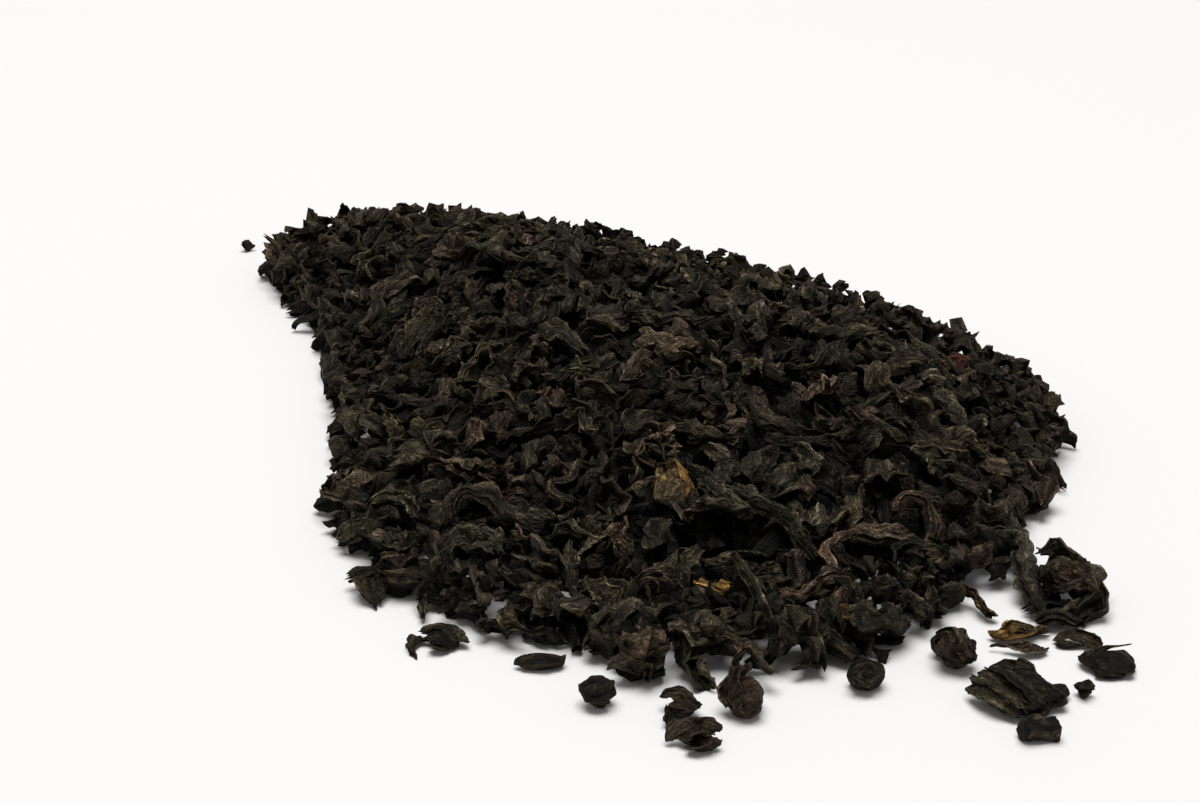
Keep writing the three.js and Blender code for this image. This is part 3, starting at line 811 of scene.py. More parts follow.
HABITS: dict[Kind, Habit] = {
    Kind.TWIST: Habit(RolledMake(), (0.0, 1.5), (1.1, 1.0)),
    Kind.SHORT: Habit(RolledMake(spans=16, sides=16, ends=(0.3, 0.85), knots=4), (0.0, 1.4), (1.1, 1.0)),
    Kind.HOOK: Habit(RolledMake(spans=20, sides=14, ends=(0.3, 0.8), wobble=0.5), (2.0, 3.6), (1.5, 0.8)),
    Kind.CURL: Habit(SheetMake(), (0.0, 0.9), (1.0, 1.8)),
    Kind.SCROLL: Habit(
        SheetMake(rows=14, columns=18, curl=(1.0, 1.7), pleat=0.5, fold=0.6), (0.0, 1.2), (1.05, 2.6)
    ),
    Kind.FLAKE: Habit(
        SheetMake(rows=10, columns=9, curl=(0.05, 0.4), fold=0.6, hem=1.0, point=0.15), (0.0, 0.5), (1, 1.2)
    ),
    Kind.PELLET: Habit(LumpMake(), (0.0, 0.8)),
    Kind.STALK: Habit(
        RolledMake(spans=12, sides=9, ridge=0.16, lip=0, trough=0.2, ends=(0.75, 1), flat=(0.6, 0.8),
                   twist=(0, 0.1), wobble=0.25, ragged=0.6),
        (0.1, 0.7),
    ),
    Kind.CRUMB: Habit(
        RolledMake(spans=4, sides=7, ridge=0.35, lip=0, ends=(0.2, 0.7), flat=(0.3, 0.8), knots=3,
                   wobble=0.3),
        (0.0, 1.2),
    ),
    Kind.STRAP: Habit(
        RolledMake(spans=44, sides=18, ridge=0.46, lip=0.2, ends=(0.6, 0.95), flat=(0.45, 0.6), trough=0.3,
                   twist=(0, 0.08), knots=4, ragged=0.3, swell=0.07, crumple=0.045),
        (0, 0),
    ),
    Kind.SHEET: Habit(
        SheetMake(rows=26, columns=20, curl=(0.25, 0.5), pleat=0.7, fold=0.6, hem=1.2, twist=(0, 0.08)),
        (0, 0), (1, 1.5),
    ),
    Kind.WIRE: Habit(
        RolledMake(spans=44, sides=8, ridge=0.2, lip=0, ends=(0.6, 1), flat=(0.6, 0.9), trough=0.1,
                   twist=(0.5, 1.5), knots=9, ragged=0.3, crumple=0.06, jitter=0.012),
        (0, 0),
    ),
}


class Garden:
    """Makes leaves of every kind, and gives each the colour that it dried to."""

    def __init__(self, seed: int, clear: float = 0.9) -> None:
        """Starts the chance that every leaf draws on.

        Args:
            seed: the start of the chance.
            clear: millimetres that the leaves laid along given paths are lifted off the full height of the
                heap.
        """
        self.rng = np.random.default_rng(seed)
        self.clear = clear

    def leaves(
        self, kind: Kind, length: np.ndarray, width: np.ndarray, make: Make | None = None
    ) -> list[Leaf]:
        """Makes one leaf for each length.

        Args:
            kind: the kind of leaf.
            length: millimetres from end to end, as it lies.
            width: millimetres across, as it lies.
            make: how it is made, where that isn't as the kind is made.

        Returns:
            The leaves, each about its own middle.
        """
        habit = HABITS[kind]
        longer, wider = habit.spread
        bend = self.rng.uniform(*habit.bend, len(length)) * self.rng.choice([-1, 1], len(length))
        batch = (make or habit.make).shape(self.rng, length * longer, width * wider, bend)
        leaves = [batch.one(k) for k in range(len(length))]
        for leaf in leaves:
            leaf.colour = self.colour()
        return leaves

    def laid_by_hand(self, lie: "Lie", form: HeapForm) -> Leaf:
        """Makes a leaf that follows a path over the heap.

        Args:
            lie: the leaf, with its path.
            form: the form of the heap.

        Returns:
            The leaf in its place, but for its height.
        """
        places = np.array(lie.path, float)
        form_height = form.height(places[:, 0], places[:, 1])
        places[:, 2] += form_height + self.clear * np.clip(form_height / 3, 0, 1)
        length = np.array([np.linalg.norm(np.diff(places, axis=0), axis=1).sum()])
        habit = HABITS[lie.kind]
        make = lie.make or habit.make
        steps = (make.rows if isinstance(make, SheetMake) else make.spans) + 1
        width = np.array([lie.width * habit.spread[1]])
        spine = Spine.through(places, steps, lie.roll)
        return make.shape(self.rng, length, width, np.zeros(1), spine).one(0)

    def colour(self, tone: Tone | None = None) -> tuple[float, float, float]:
        """Draws the colour of one leaf.

        Args:
            tone: what it dried to, or None to draw that as well.

        Returns:
            Linear red, green and blue.
        """
        if tone is None:
            tones = np.array(list(TONE_ODDS), dtype=object)
            tone = self.rng.choice(tones, p=list(TONE_ODDS.values()))
        shade = self.rng.uniform(0.7, 1.35)
        warm = self.rng.uniform(-0.06, 0.06)
        red, green, blue = TONE_COLOURS[tone]
        return (red * shade * (1 + warm), green * shade, blue * shade * (1 - warm))


# ---------------------------------------------------------------- leaves of the solid heap


class RepeatableDraw:
    """The same row of chance numbers as the solid heap is scattered by."""

    def __init__(self, seed: int) -> None:
        """Sets the row's start."""
        self.state = seed & 0xFFFFFFFF

    def between(self, low: float, high: float) -> float:
        """The next number, between low and high.

        Args:
            low: the least that it can be.
            high: the most that it can be.

        Returns:
            The number.
        """
        self.state = (self.state + 0x6D2B79F5) & 0xFFFFFFFF
        t = ((self.state ^ (self.state >> 15)) * (self.state | 1)) & 0xFFFFFFFF
        t ^= (t + (((t ^ (t >> 7)) * (t | 61)) & 0xFFFFFFFF)) & 0xFFFFFFFF
        return low + (high - low) * ((t ^ (t >> 14)) & 0xFFFFFFFF) / 4294967296


@dataclass
class Lie:
    """Where and how one leaf lies. Turn, pitch and roll are in degrees."""

    kind: Kind
    x: float
    y: float
    turn: float
    length: float
    width: float
    pitch: float = 0.0
    roll: float = 0.0
    tone: Tone | None = None
    tip: Tone | None = None
    path: Path = ()  # x, y and rise over the heap, where it is laid along a given path
    make: Make | None = None

    def rotation(self) -> np.ndarray:
        """The rotation of a leaf that lies so on level ground."""
        return turned(self.turn, self.pitch, self.roll)


def hand(kind: Kind, width: float, path: Path, **more: object) -> Lie:
    """One leaf that is laid along a given path."""
    return Lie(kind, 0, 0, 0, 0, width, path=path, **more)


STAND_OUT: tuple[Lie, ...] = (  # the leaves that stand out, in the places that they have in the solid heap
    Lie(Kind.STRAP, 11, -25.5, -48, 13.5, 2.0, tone=Tone.OLIVE,
        path=((6.6, -20.4, 1), (8.6, -24.0, 2), (10.9, -26.6, 2.4), (13.4, -28.0, 2.4),
              (15.6, -28.9, 2.2), (16.4, -31.0, 1.8), (18.0, -32.6, 1))),
    Lie(Kind.SHEET, -15.3, -29, 5, 8.5, 3.2, tone=Tone.OLIVE,
        path=((-17.7, -29.4, 1), (-15.5, -29.2, 1.6), (-13.1, -30.2, 1.8), (-10.8, -32.0, 1.2)),
        make=SheetMake(rows=30, columns=24, curl=(0.2, 0.3), pleat=0.6, fold=0.6, hem=0.9, point=0.3)),
    Lie(Kind.STRAP, 23.6, -28.5, 10, 7.5, 2.6, tone=Tone.TWIG, roll=20,
        path=((21, -29.6, 2), (22.9, -29.4, 2.7), (24.6, -29, 2.8), (27, -26.8, 1.8))),
    Lie(Kind.WIRE, 19, -32.5, 35, 9, 1.05, tone=Tone.TWIG,
        path=((14.2, -37.3, 0.9), (15.6, -37.9, 0.8), (16.8, -37.2, 0.9), (17.9, -36.2, 1.2),
              (19, -35.8, 1.4), (19.3, -34.7, 1.6), (18.6, -33.6, 1.8), (19.1, -32.1, 1.9),
              (20.2, -30.7, 1.9), (21.8, -29.2, 1.6))),
    Lie(Kind.STRAP, 12.5, -41, -70, 9, 1.5, pitch=12, tone=Tone.OLIVE,
        path=((10.3, -35.2, 1), (11.1, -37.7, 1.5), (11.9, -39.8, 1.6), (12.6, -42.1, 1.5),
              (13.5, -44.3, 1.1), (12.7, -45.4, 0.8), (10.8, -45.7, 0.6))),
    Lie(Kind.SHEET, 5, -26, 85, 6.5, 2.5, pitch=-20, tone=Tone.BROWN, tip=Tone.STEM,
        path=((5.9, -29.3, 0.6), (5.6, -27.6, 1.6), (5, -25.3, 1.9), (4.2, -21.6, 1.2))),
    Lie(Kind.SHEET, -0.4, -30.4, 70, 4, 2.4, pitch=-30, tone=Tone.BROWN,
        path=((-0.3, -28.2, 1.8), (-0.2, -30.4, 1.5), (0.4, -32.2, 0.7))),
    Lie(Kind.FLAKE, 8.2, -38, 0, 3.4, 1.2, tone=Tone.GOLD,
        path=((7.1, -36.9, 1.3), (8.4, -38, 1.4), (9.9, -38.1, 1))),
    Lie(Kind.FLAKE, -10.4, -20.5, 20, 3, 2.4, tone=Tone.RUST),
    Lie(Kind.STALK, 19.6, -40, 80, 3, 2.2, tone=Tone.BROWN,
        path=((20.2, -38.2, 1.5), (19.9, -39.6, 1.4), (19.8, -40.8, 1.2))),
    Lie(Kind.CURL, 1.6, -46.4, 15, 6, 3.4, roll=150),
    Lie(Kind.CURL, -23.4, -18, 50, 6, 3.6, roll=40),
    Lie(Kind.TWIST, -20.5, -24.5, -15, 5, 2.2),
    Lie(Kind.STALK, -27, -12.5, 178, 6, 2.3, tone=Tone.BROWN,
        path=((-28.6, -12.6, 1), (-26.2, -14.6, 1.4), (-23.8, -16.6, 1))),
    Lie(Kind.STALK, -35, 32.5, -15, 7, 1),
    Lie(Kind.PELLET, -30.2, 13.5, 40, 4.6, 4.2),
    Lie(Kind.PELLET, -28.3, -2, 100, 4.2, 3.8),
    Lie(Kind.TWIST, -31, 56, 60, 7, 3, pitch=-50),
    Lie(Kind.FLAKE, -22, 52, 150, 5, 3.4, pitch=-45),
    Lie(Kind.STALK, -9.5, 47, 40, 7, 0.9, pitch=-55),
    Lie(Kind.TWIST, -4.5, 46, 100, 6.5, 2.2, pitch=-40),
    Lie(Kind.STALK, 43, -3.5, 20, 5, 0.8, pitch=-70),
    Lie(Kind.CURL, 37.8, -17.5, 80, 5.5, 3.4, tone=Tone.BROWN),
    Lie(Kind.CURL, 35.4, -24.4, -50, 6, 3.2),
    Lie(Kind.STRAP, 37.2, -28.2, -74, 15.6, 2.5, tone=Tone.PALE,
        path=((37.2, -20.8, 1.8), (38, -25.2, 2.4), (37.6, -29.6, 2.2), (37.7, -32.8, 1.6),
              (38.3, -35.5, 1), (39, -37, 0.6))),
    Lie(Kind.TWIST, 39.4, -35.4, 12, 5.6, 1.8,
        path=((36.9, -35.6, 0.7), (38.6, -35.2, 1.2), (40.4, -35.3, 0.9), (42.2, -34.6, 0.7))),
    Lie(Kind.SHEET, 41, -30.6, 75, 9.4, 3.2, roll=-35, tone=Tone.OLIVE,
        path=((39.1, -28, 2), (40.6, -28.6, 3.4), (42.1, -31, 3.6), (43.3, -33.2, 2.9),
              (43.4, -34.8, 1.8), (42.1, -36.4, 1), (40.6, -37, 0.6)),
        make=SheetMake(rows=34, columns=22, curl=(0.4, 0.45), pleat=0.4, fold=0.5, hem=0.7, tear=0.04,
                       twist=(0, 0.04), point=0.2)),
    Lie(Kind.STRAP, 31.4, -32.6, -66, 7.6, 1.3, tone=Tone.STEM,
        path=((30.2, -30.4, 0.6), (31.1, -32.6, 1.4), (32.4, -33.8, 1.2), (33.1, -35.4, 0.8),
              (33.4, -36.4, 0.6))),
    Lie(Kind.PELLET, -25.2, -20.6, 10, 3.4, 2.2),
)
LAID_LAST: tuple[Lie, ...] = (  # leaves of the looks alone, which go on top of the others
    hand(Kind.STRAP, 1.3, ((7.5, -23.2, 0.8), (9.2, -26.9, 1.8), (11.0, -28.8, 1.8), (12.1, -29.0, 1.4)),
         tone=Tone.OLIVE),
    hand(Kind.STRAP, 1.3, ((8.7, -20.3, 1), (10.8, -23.4, 2.2), (12.3, -24.4, 2.4), (12.6, -25.6, 2)),
         tone=Tone.OLIVE),
    hand(Kind.STRAP, 1.1, ((7.0, -27.5, 1), (8.8, -28.8, 1.6), (10.6, -29.6, 1.6), (11.9, -28.8, 1.2)),
         tone=Tone.OLIVE),
    hand(Kind.WIRE, 0.7, ((4.6, -22.6, 1.6), (5.7, -24.4, 2.1), (6.3, -26.2, 1.9), (6.0, -27.6, 1.2)),
         tone=Tone.GOLD),
    hand(Kind.STRAP, 1.6, ((-27.0, -22.6, 1), (-25.4, -22.8, 1.6), (-23.8, -23.0, 1.6))),
    hand(Kind.SHEET, 2.2,
         ((-25.0, -20.3, 1.2), (-22.7, -21.1, 2), (-20.7, -22.2, 1.6), (-19.1, -24.7, 1.2))),
    hand(Kind.SHEET, 2.0, ((-22.4, -26.4, 1.4), (-20.4, -27.6, 2), (-18.5, -28.8, 1.4))),
    hand(Kind.SHEET, 2.4, ((38.9, -29.5, 1.6), (39.6, -32.5, 1.4), (39.9, -35.5, 0.8))),
    hand(Kind.WIRE, 0.7, ((16, -38.2, 0.9), (17.2, -36.9, 1.4), (18.5, -36, 1.8), (19.6, -35.2, 1.8)),
         tone=Tone.TWIG),
    hand(Kind.WIRE, 0.42,
         ((-9.9, -27.5, 1.2), (-8.3, -29.8, 1.5), (-6.6, -31.3, 1.4), (-5.2, -33, 1.2), (-4, -33.3, 1.5),
          (-3.6, -32.1, 1.9), (-2, -30.7, 1.4)), tone=Tone.PALE),
    hand(Kind.WIRE, 0.42, ((-6.6, -29.1, 1.3), (-5, -28.8, 2), (-3.7, -29.9, 1.8), (-2, -30.8, 1.3)),
         tone=Tone.PALE),
    hand(Kind.STRAP, 1.7,
         ((25.7, -25.2, 0.6), (26.4, -24.4, 1.7), (27.9, -24, 2.2), (29.2, -24.8, 2), (29.5, -26.6, 1.4),
          (28.4, -29, 0.6)), tone=Tone.BROWN),
    hand(Kind.WIRE, 0.8,
         ((24.9, -32.3, 1), (25.3, -31.3, 1.7), (27.2, -30.2, 1.9), (29.3, -29.6, 1.7), (30.4, -30, 1.2),
          (29.6, -31, 0.8), (27.4, -31.8, 0.7), (25.5, -32.5, 0.9)), tone=Tone.OLIVE),
    hand(Kind.SHEET, 2.4, ((-4.6, -37.6, 1), (-2.7, -38.1, 1.7), (-1.5, -39.3, 1.5), (-1.3, -41.8, 0.6)),
         tone=Tone.OLIVE),
    hand(Kind.STRAP, 1.9,
         ((-16, -24.8, 0.6), (-16.3, -23.1, 1.6), (-15.2, -22.2, 2), (-12.8, -22.7, 1.8),
          (-10.4, -25.1, 0.8)), tone=Tone.BLACK),
    hand(Kind.SHEET, 2.6, ((39.1, -31.9, 2.4), (41.2, -30.8, 3), (43.2, -31.6, 2.2)), tone=Tone.BROWN),
    hand(Kind.SHEET, 2.8, ((38.8, -33.6, 1.2), (41, -32.6, 1.6), (43.2, -33.2, 1.4))),
    hand(Kind.STRAP, 1.9, ((39.7, -37.4, 0.8), (41.6, -36.2, 1.3), (43.4, -34.6, 1.3)), tone=Tone.OLIVE),
    hand(Kind.STRAP, 1.6, ((37.6, -37.2, 0.6), (39.6, -37.4, 1.1), (41.2, -38.2, 0.8))),
    Lie(Kind.PELLET, 41, -33.2, 0, 5.2, 4.2),
    Lie(Kind.PELLET, 40.2, -35.2, 40, 2.8, 2.2),
    Lie(Kind.PELLET, 41.6, -34.6, 0, 3.8, 2.8, tone=Tone.BROWN),
    Lie(Kind.PELLET, 34.3, -26.6, 20, 3.6, 2.8),
    Lie(Kind.PELLET, 35.2, -29.2, 60, 3.2, 2.4),
    Lie(Kind.PELLET, 36.4, -25.6, 80, 3.0, 2.2),
    Lie(Kind.PELLET, 33.4, -29.6, 10, 3.0, 2.2, tone=Tone.BROWN),
    hand(Kind.STRAP, 1.2, ((-12.9, -36.5, 1), (-11, -38.6, 1.2), (-9.3, -41, 0.8)), tone=Tone.OLIVE),
    hand(Kind.STRAP, 1.1, ((-14.4, -36.8, 0.9), (-12.4, -38.4, 1), (-10, -40.4, 0.8)), tone=Tone.BROWN),
    Lie(Kind.PELLET, 21.8, -42.2, 8, 5.2, 2.4, tone=Tone.OLIVE),
    Lie(Kind.PELLET, 7.2, -44.4, 30, 4.4, 3.8),
    Lie(Kind.PELLET, 1.8, -46.6, -10, 4.6, 3.6, tone=Tone.BROWN),
    Lie(Kind.PELLET, 15.4, -43.8, 0, 5.6, 2.8),
    Lie(Kind.PELLET, 19.9, -41.4, 0, 2.9, 2.4, roll=24, tone=Tone.GOLD,
        make=LumpMake(spans=24, sides=32, depth=0.06, flat=(0.35, 0.4), crumple=0.03)),
    *(hand(Kind.WIRE, 0.34, ((1.6, -36.2, 1.4), (2.2 + 0.5 * k, -37.6 + 0.2 * k, 2.6),
                             (2 + 1.1 * k, -39.6 + 0.5 * k, 2.4)), tone=Tone.TWIG)
      for k in range(5)),
)


@dataclass(frozen=True)
class Sort:
    """One sort of leaf that the solid heap is scattered with."""

    kind: Kind
    count: int
    length: tuple[float, float]
    width: tuple[float, float]
    spacing: float
    tilt: float
    edge: bool = False


SCATTER: tuple[Sort, ...] = (
    Sort(Kind.TWIST, 28, (8, 13), (1.8, 2.6), 6, 14),
    Sort(Kind.CURL, 10, (5, 7.5), (3, 4), 5.5, 20, True),
    Sort(Kind.TWIST, 16, (5, 8), (1.6, 2.4), 4.8, 10, True),
    Sort(Kind.CURL, 26, (5.5, 8.5), (3.4, 4.6), 5, 26),
    Sort(Kind.STALK, 8, (6, 10), (1, 1.4), 4.6, 20),
    Sort(Kind.PELLET, 10, (3, 4.2), (2.4, 3.2), 4, 40, True),
    Sort(Kind.FLAKE, 14, (4, 6), (3, 4.2), 4.2, 34),
    Sort(Kind.PELLET, 8, (3, 4.2), (2.6, 3.4), 4, 40),
)
EDGE_BAND = 3.0  # millimetres from the outline within which leaves of the edge lie
EDGE_CLEAR = 0.6  # millimetres from the outline that every leaf's middle keeps to
MOST_TRIES = 6000
SCATTERED_OVER = ((-45, 48), (-50, 66))  # least and most x, and least and most y


def solid_heap_leaves(form: HeapForm) -> list[Lie]:
    """The leaves of the solid heap, drawn by the same rule as there.

    Args:
        form: the form of the heap.

    Returns:
        Where each leaf lies.
    """
    draw = RepeatableDraw(SEED + 1)
    lies = list(STAND_OUT)
    for sort in SCATTER:
        placed = tries = 0
        while tries < MOST_TRIES and placed < sort.count:
            tries += 1
            x, y = (draw.between(*span) for span in SCATTERED_OVER)
            inside = form.distance_inside(x, y)[0]
            if inside < EDGE_CLEAR or (sort.edge and inside > EDGE_BAND):
                continue
            if any(math.hypot(lie.x - x, lie.y - y) < sort.spacing for lie in lies):
                continue
            turn = draw.between(0, 360)
            pitch, roll = (draw.between(-sort.tilt, sort.tilt) for _ in range(2))
            length, width = draw.between(*sort.length), draw.between(*sort.width)
            lies.append(Lie(sort.kind, x, y, turn, length, width, pitch, roll))
            placed += 1
    return lies


# ---------------------------------------------------------------- laying leaves down


@dataclass
class Bed:
    """A map of how high the tea already lies, on which each next leaf comes to rest."""

    form: HeapForm
    cell: float = 0.4
    low: tuple[float, float] = (-58.0, -72.0)
    size: tuple[int, int] = (290, 370)
    sink: float = 0.9  # this share of a leaf's points stays above what it rests on
    deep: float = 1.4  # millimetres down to where little light reaches
    deep_light: float = 0.03
    shade_start: float = 0.38  # millimetres above the leaves about it at which a point starts to lose light
    shade_bend: float = 0.7  # under 1, so that the light goes quickly at first
    around: tuple[int, ...] = (-5, -2, 0, 2, 5)  # cells to each side that shade a point
    standing_light: float = 0.42  # how much more light reaches what stands up over the leaves about it
    standing: float = 1.4  # millimetres up to where all of that light reaches
    filled: tuple[float, float] = (0.90, -1.0)  # share of the form that leaves reach, plus millimetres
    back_drop: float = 1.3  # millimetres that they lie lower at the back
    shoulder_drop: float = 1.4  # and more than that at the right of the back
    rim: tuple[float, float] = (1.6, 0.5)  # millimetres that they reach at the edge, in front and behind
    crumb_inset: float = 1.4  # millimetres from the outline that crumbs keep to
    top: np.ndarray = field(init=False)
    within: np.ndarray | None = field(init=False, default=None)  # the cells that crumbs may lie in

    def __post_init__(self) -> None:
        """Starts with a bare surface."""
        self.top = np.zeros(self.size)

    def cells(self, points: np.ndarray) -> tuple[np.ndarray, np.ndarray]:
        """The map cells under some points.

        Args:
            points: one row of x, y and z for each.

        Returns:
            Their row and column numbers.
        """
        i = np.clip(((points[:, 0] - self.low[0]) / self.cell).astype(int), 0, self.size[0] - 1)
        j = np.clip(((points[:, 1] - self.low[1]) / self.cell).astype(int), 0, self.size[1] - 1)
        return i, j

    def barest(self, gaps: tuple[tuple[float, float, float], ...]) -> tuple[float, float]:
        """The place inside the heap where the least tea lies.

        Args:
            gaps: x, y and radius of the places that stay bare.

        Returns:
            Its x and y.
        """
        if self.within is None:
            x = self.low[0] + (np.arange(self.size[0])[:, None] + 0.5) * self.cell + np.zeros(self.size)
            y = self.low[1] + (np.arange(self.size[1])[None] + 0.5) * self.cell + np.zeros(self.size)
            inside = self.form.distance_inside(x.ravel(), y.ravel()).reshape(self.size)
            self.within = inside > self.crumb_inset
            for gap_x, gap_y, radius in gaps:
                self.within &= np.hypot(x - gap_x, y - gap_y) > radius + self.crumb_inset
        about = sum(np.roll(self.top, (i, j), (0, 1)) for i in (-2, 0, 2) for j in (-2, 0, 2))
        i, j = np.unravel_index(int(np.argmin(np.where(self.within, about, math.inf))), self.size)
        return self.low[0] + (i + 0.5) * self.cell, self.low[1] + (j + 0.5) * self.cell

    def rest_height(self, points: np.ndarray) -> float:
        """How far a leaf is lifted to rest on what lies there.

        Args:
            points: the leaf's points over its place.

        Returns:
            Millimetres upwards.
        """
        gaps = self.top[self.cells(points)] - points[:, 2]
        return max(float(np.quantile(gaps, self.sink)), float(-points[:, 2].min()) + 0.02)

    def lay(
        self, leaf: Leaf, x: float, y: float, rotations: list[np.ndarray], highest: float = math.inf
    ) -> Leaf:
        """Lays a leaf down the way, of those offered, in which it comes to lie lowest.

        Args:
            leaf: the leaf about its own middle.
            x: where its middle goes.
            y: the other coordinate of that.
            rotations: the ways in which it may lie.
            highest: it is pressed down until its middle is no higher than this.

        Returns:
            The leaf in its place.
        """
        best, best_height = None, math.inf
        for rotation in rotations:
            points = leaf.points @ rotation.T + (x, y, 0)
            lift = self.rest_height(points)
            height = lift + points[:, 2].mean()
            if height < best_height:
                best, best_height = (rotation, lift), height
        rotation, lift = best
        points = leaf.points @ rotation.T
        lift = max(min(lift, highest - points[:, 2].mean()), 0.02 - points[:, 2].min())
        placed = leaf.placed(rotation, np.array([x, y, lift]))
        np.maximum.at(self.top, self.cells(placed.points), placed.points[:, 2])
        return placed

    def light_at(self, points: np.ndarray) -> np.ndarray:
        """How much light reaches down between the leaves, once all of them are laid.

        Args:
            points: one row of x, y and z for each.

        Returns:
            From 0 to 1 for each point.
        """
        i, j = self.cells(points)
        depth = np.mean([
            self.top[np.clip(i + di, 0, self.size[0] - 1), np.clip(j + dj, 0, self.size[1] - 1)]
            for di in self.around for dj in self.around
        ], axis=0) - points[:, 2]
        share = np.clip((depth + self.shade_start) / self.deep, 0, 1) ** self.shade_bend
        sunk = (1 - self.deep_light) * share
        return 1 - sunk + self.standing_light * np.clip(-depth / self.standing, 0, 1)

    def shortfall(self, x: np.ndarray, y: np.ndarray) -> np.ndarray:
        """How much lower the tea lies than the heap's form, about each place.

        Args:
            x: one coordinate for each place.
            y: the other coordinate.

        Returns:
            Millimetres for each place.
        """
        ring = np.array([(0, 0), (1, 0), (-1, 0), (0, 1), (0, -1)]) * 1.2
        heights = [self.top[self.cells(np.stack([x + dx, y + dy], -1))] for dx, dy in ring]
        return self.goal(x, y) - np.mean(heights, axis=0)

    def goal(self, x: np.ndarray, y: np.ndarray) -> np.ndarray:
        """How high the loose leaves are to lie.

        Args:
            x: one coordinate for each place.
            y: the other coordinate.

        Returns:
            Millimetres for each place.
        """
        rim = np.where(y < -5, *self.rim)
        drop = self.back_drop * np.clip((y + 10) / 30, 0, 1)
        drop = drop + self.shoulder_drop * np.clip((x - 5) / 20, 0, 1) * np.clip((y + 8) / 20, 0, 1)
        return np.maximum(self.form.height(x, y) * self.filled[0] + self.filled[1] - drop, rim)


# ---------------------------------------------------------------- finishes


@dataclass(frozen=True)
class FinishNet:
    """Adds nodes to the tree of one material and joins them up."""

    tree: bpy.types.NodeTree

    def node(self, kind: str, **values: object) -> bpy.types.Node:
        """Adds a node and sets what is named.

        Args:
            kind: the kind of node.
            values: what is set on it, by name.

        Returns:
            The node.
        """
        made = self.tree.nodes.new(kind)
        for key, value in values.items():
            setattr(made, key, value)
        return made

    def join(self, source: bpy.types.NodeSocket, target: bpy.types.NodeSocket) -> None:
        """Joins an output to an input."""
        self.tree.links.new(source, target)

    def math(self, operation: str, *inputs: bpy.types.NodeSocket | float) -> bpy.types.NodeSocket:
        """Adds a math node.

        Args:
            operation: what it works out.
            inputs: what it is fed with, outputs of other nodes or numbers.

        Returns:
            Its output.
        """
        made = self.node("ShaderNodeMath", operation=operation)
        for socket, value in zip(made.inputs, inputs):
            if isinstance(value, (int, float)):
                socket.default_value = value
            else:
                self.join(value, socket)
        return made.outputs[0]

    def noise(
        self, vector: bpy.types.NodeSocket, stretch: tuple[float, float, float], detail: float, rough: float
    ) -> bpy.types.NodeSocket:
        """Adds a noise texture.

        Args:
            vector: the coordinates that it lies on.
            stretch: what those are multiplied by.
            detail: how many finer layers it has.
            rough: how strong those are.

        Returns:
            Its strength.
        """
        stretched = self.node("ShaderNodeVectorMath", operation="MULTIPLY")
        stretched.inputs[1].default_value = stretch
        self.join(vector, stretched.inputs[0])
        made = self.node("ShaderNodeTexNoise")
        for name, value in (("Scale", 1.0), ("Detail", detail), ("Roughness", rough)):
            made.inputs[name].default_value = value
        self.join(stretched.outputs[0], made.inputs["Vector"])
        return made.outputs[0]

    def ranged(
        self, value: bpy.types.NodeSocket, out: tuple[float, float], low: float, high: float
    ) -> bpy.types.NodeSocket:
        """Moves a value from one range to another.

        Args:
            value: the value.
            out: what low and high become.
            low: the least of the range that it is in.
            high: the most.

        Returns:
            The moved value.
        """
        made = self.node("ShaderNodeMapRange")
        self.join(value, made.inputs["Value"])
        made.inputs["From Min"].default_value = low
        made.inputs["From Max"].default_value = high
        made.inputs["To Min"].default_value, made.inputs["To Max"].default_value = out
        return made.outputs[0]


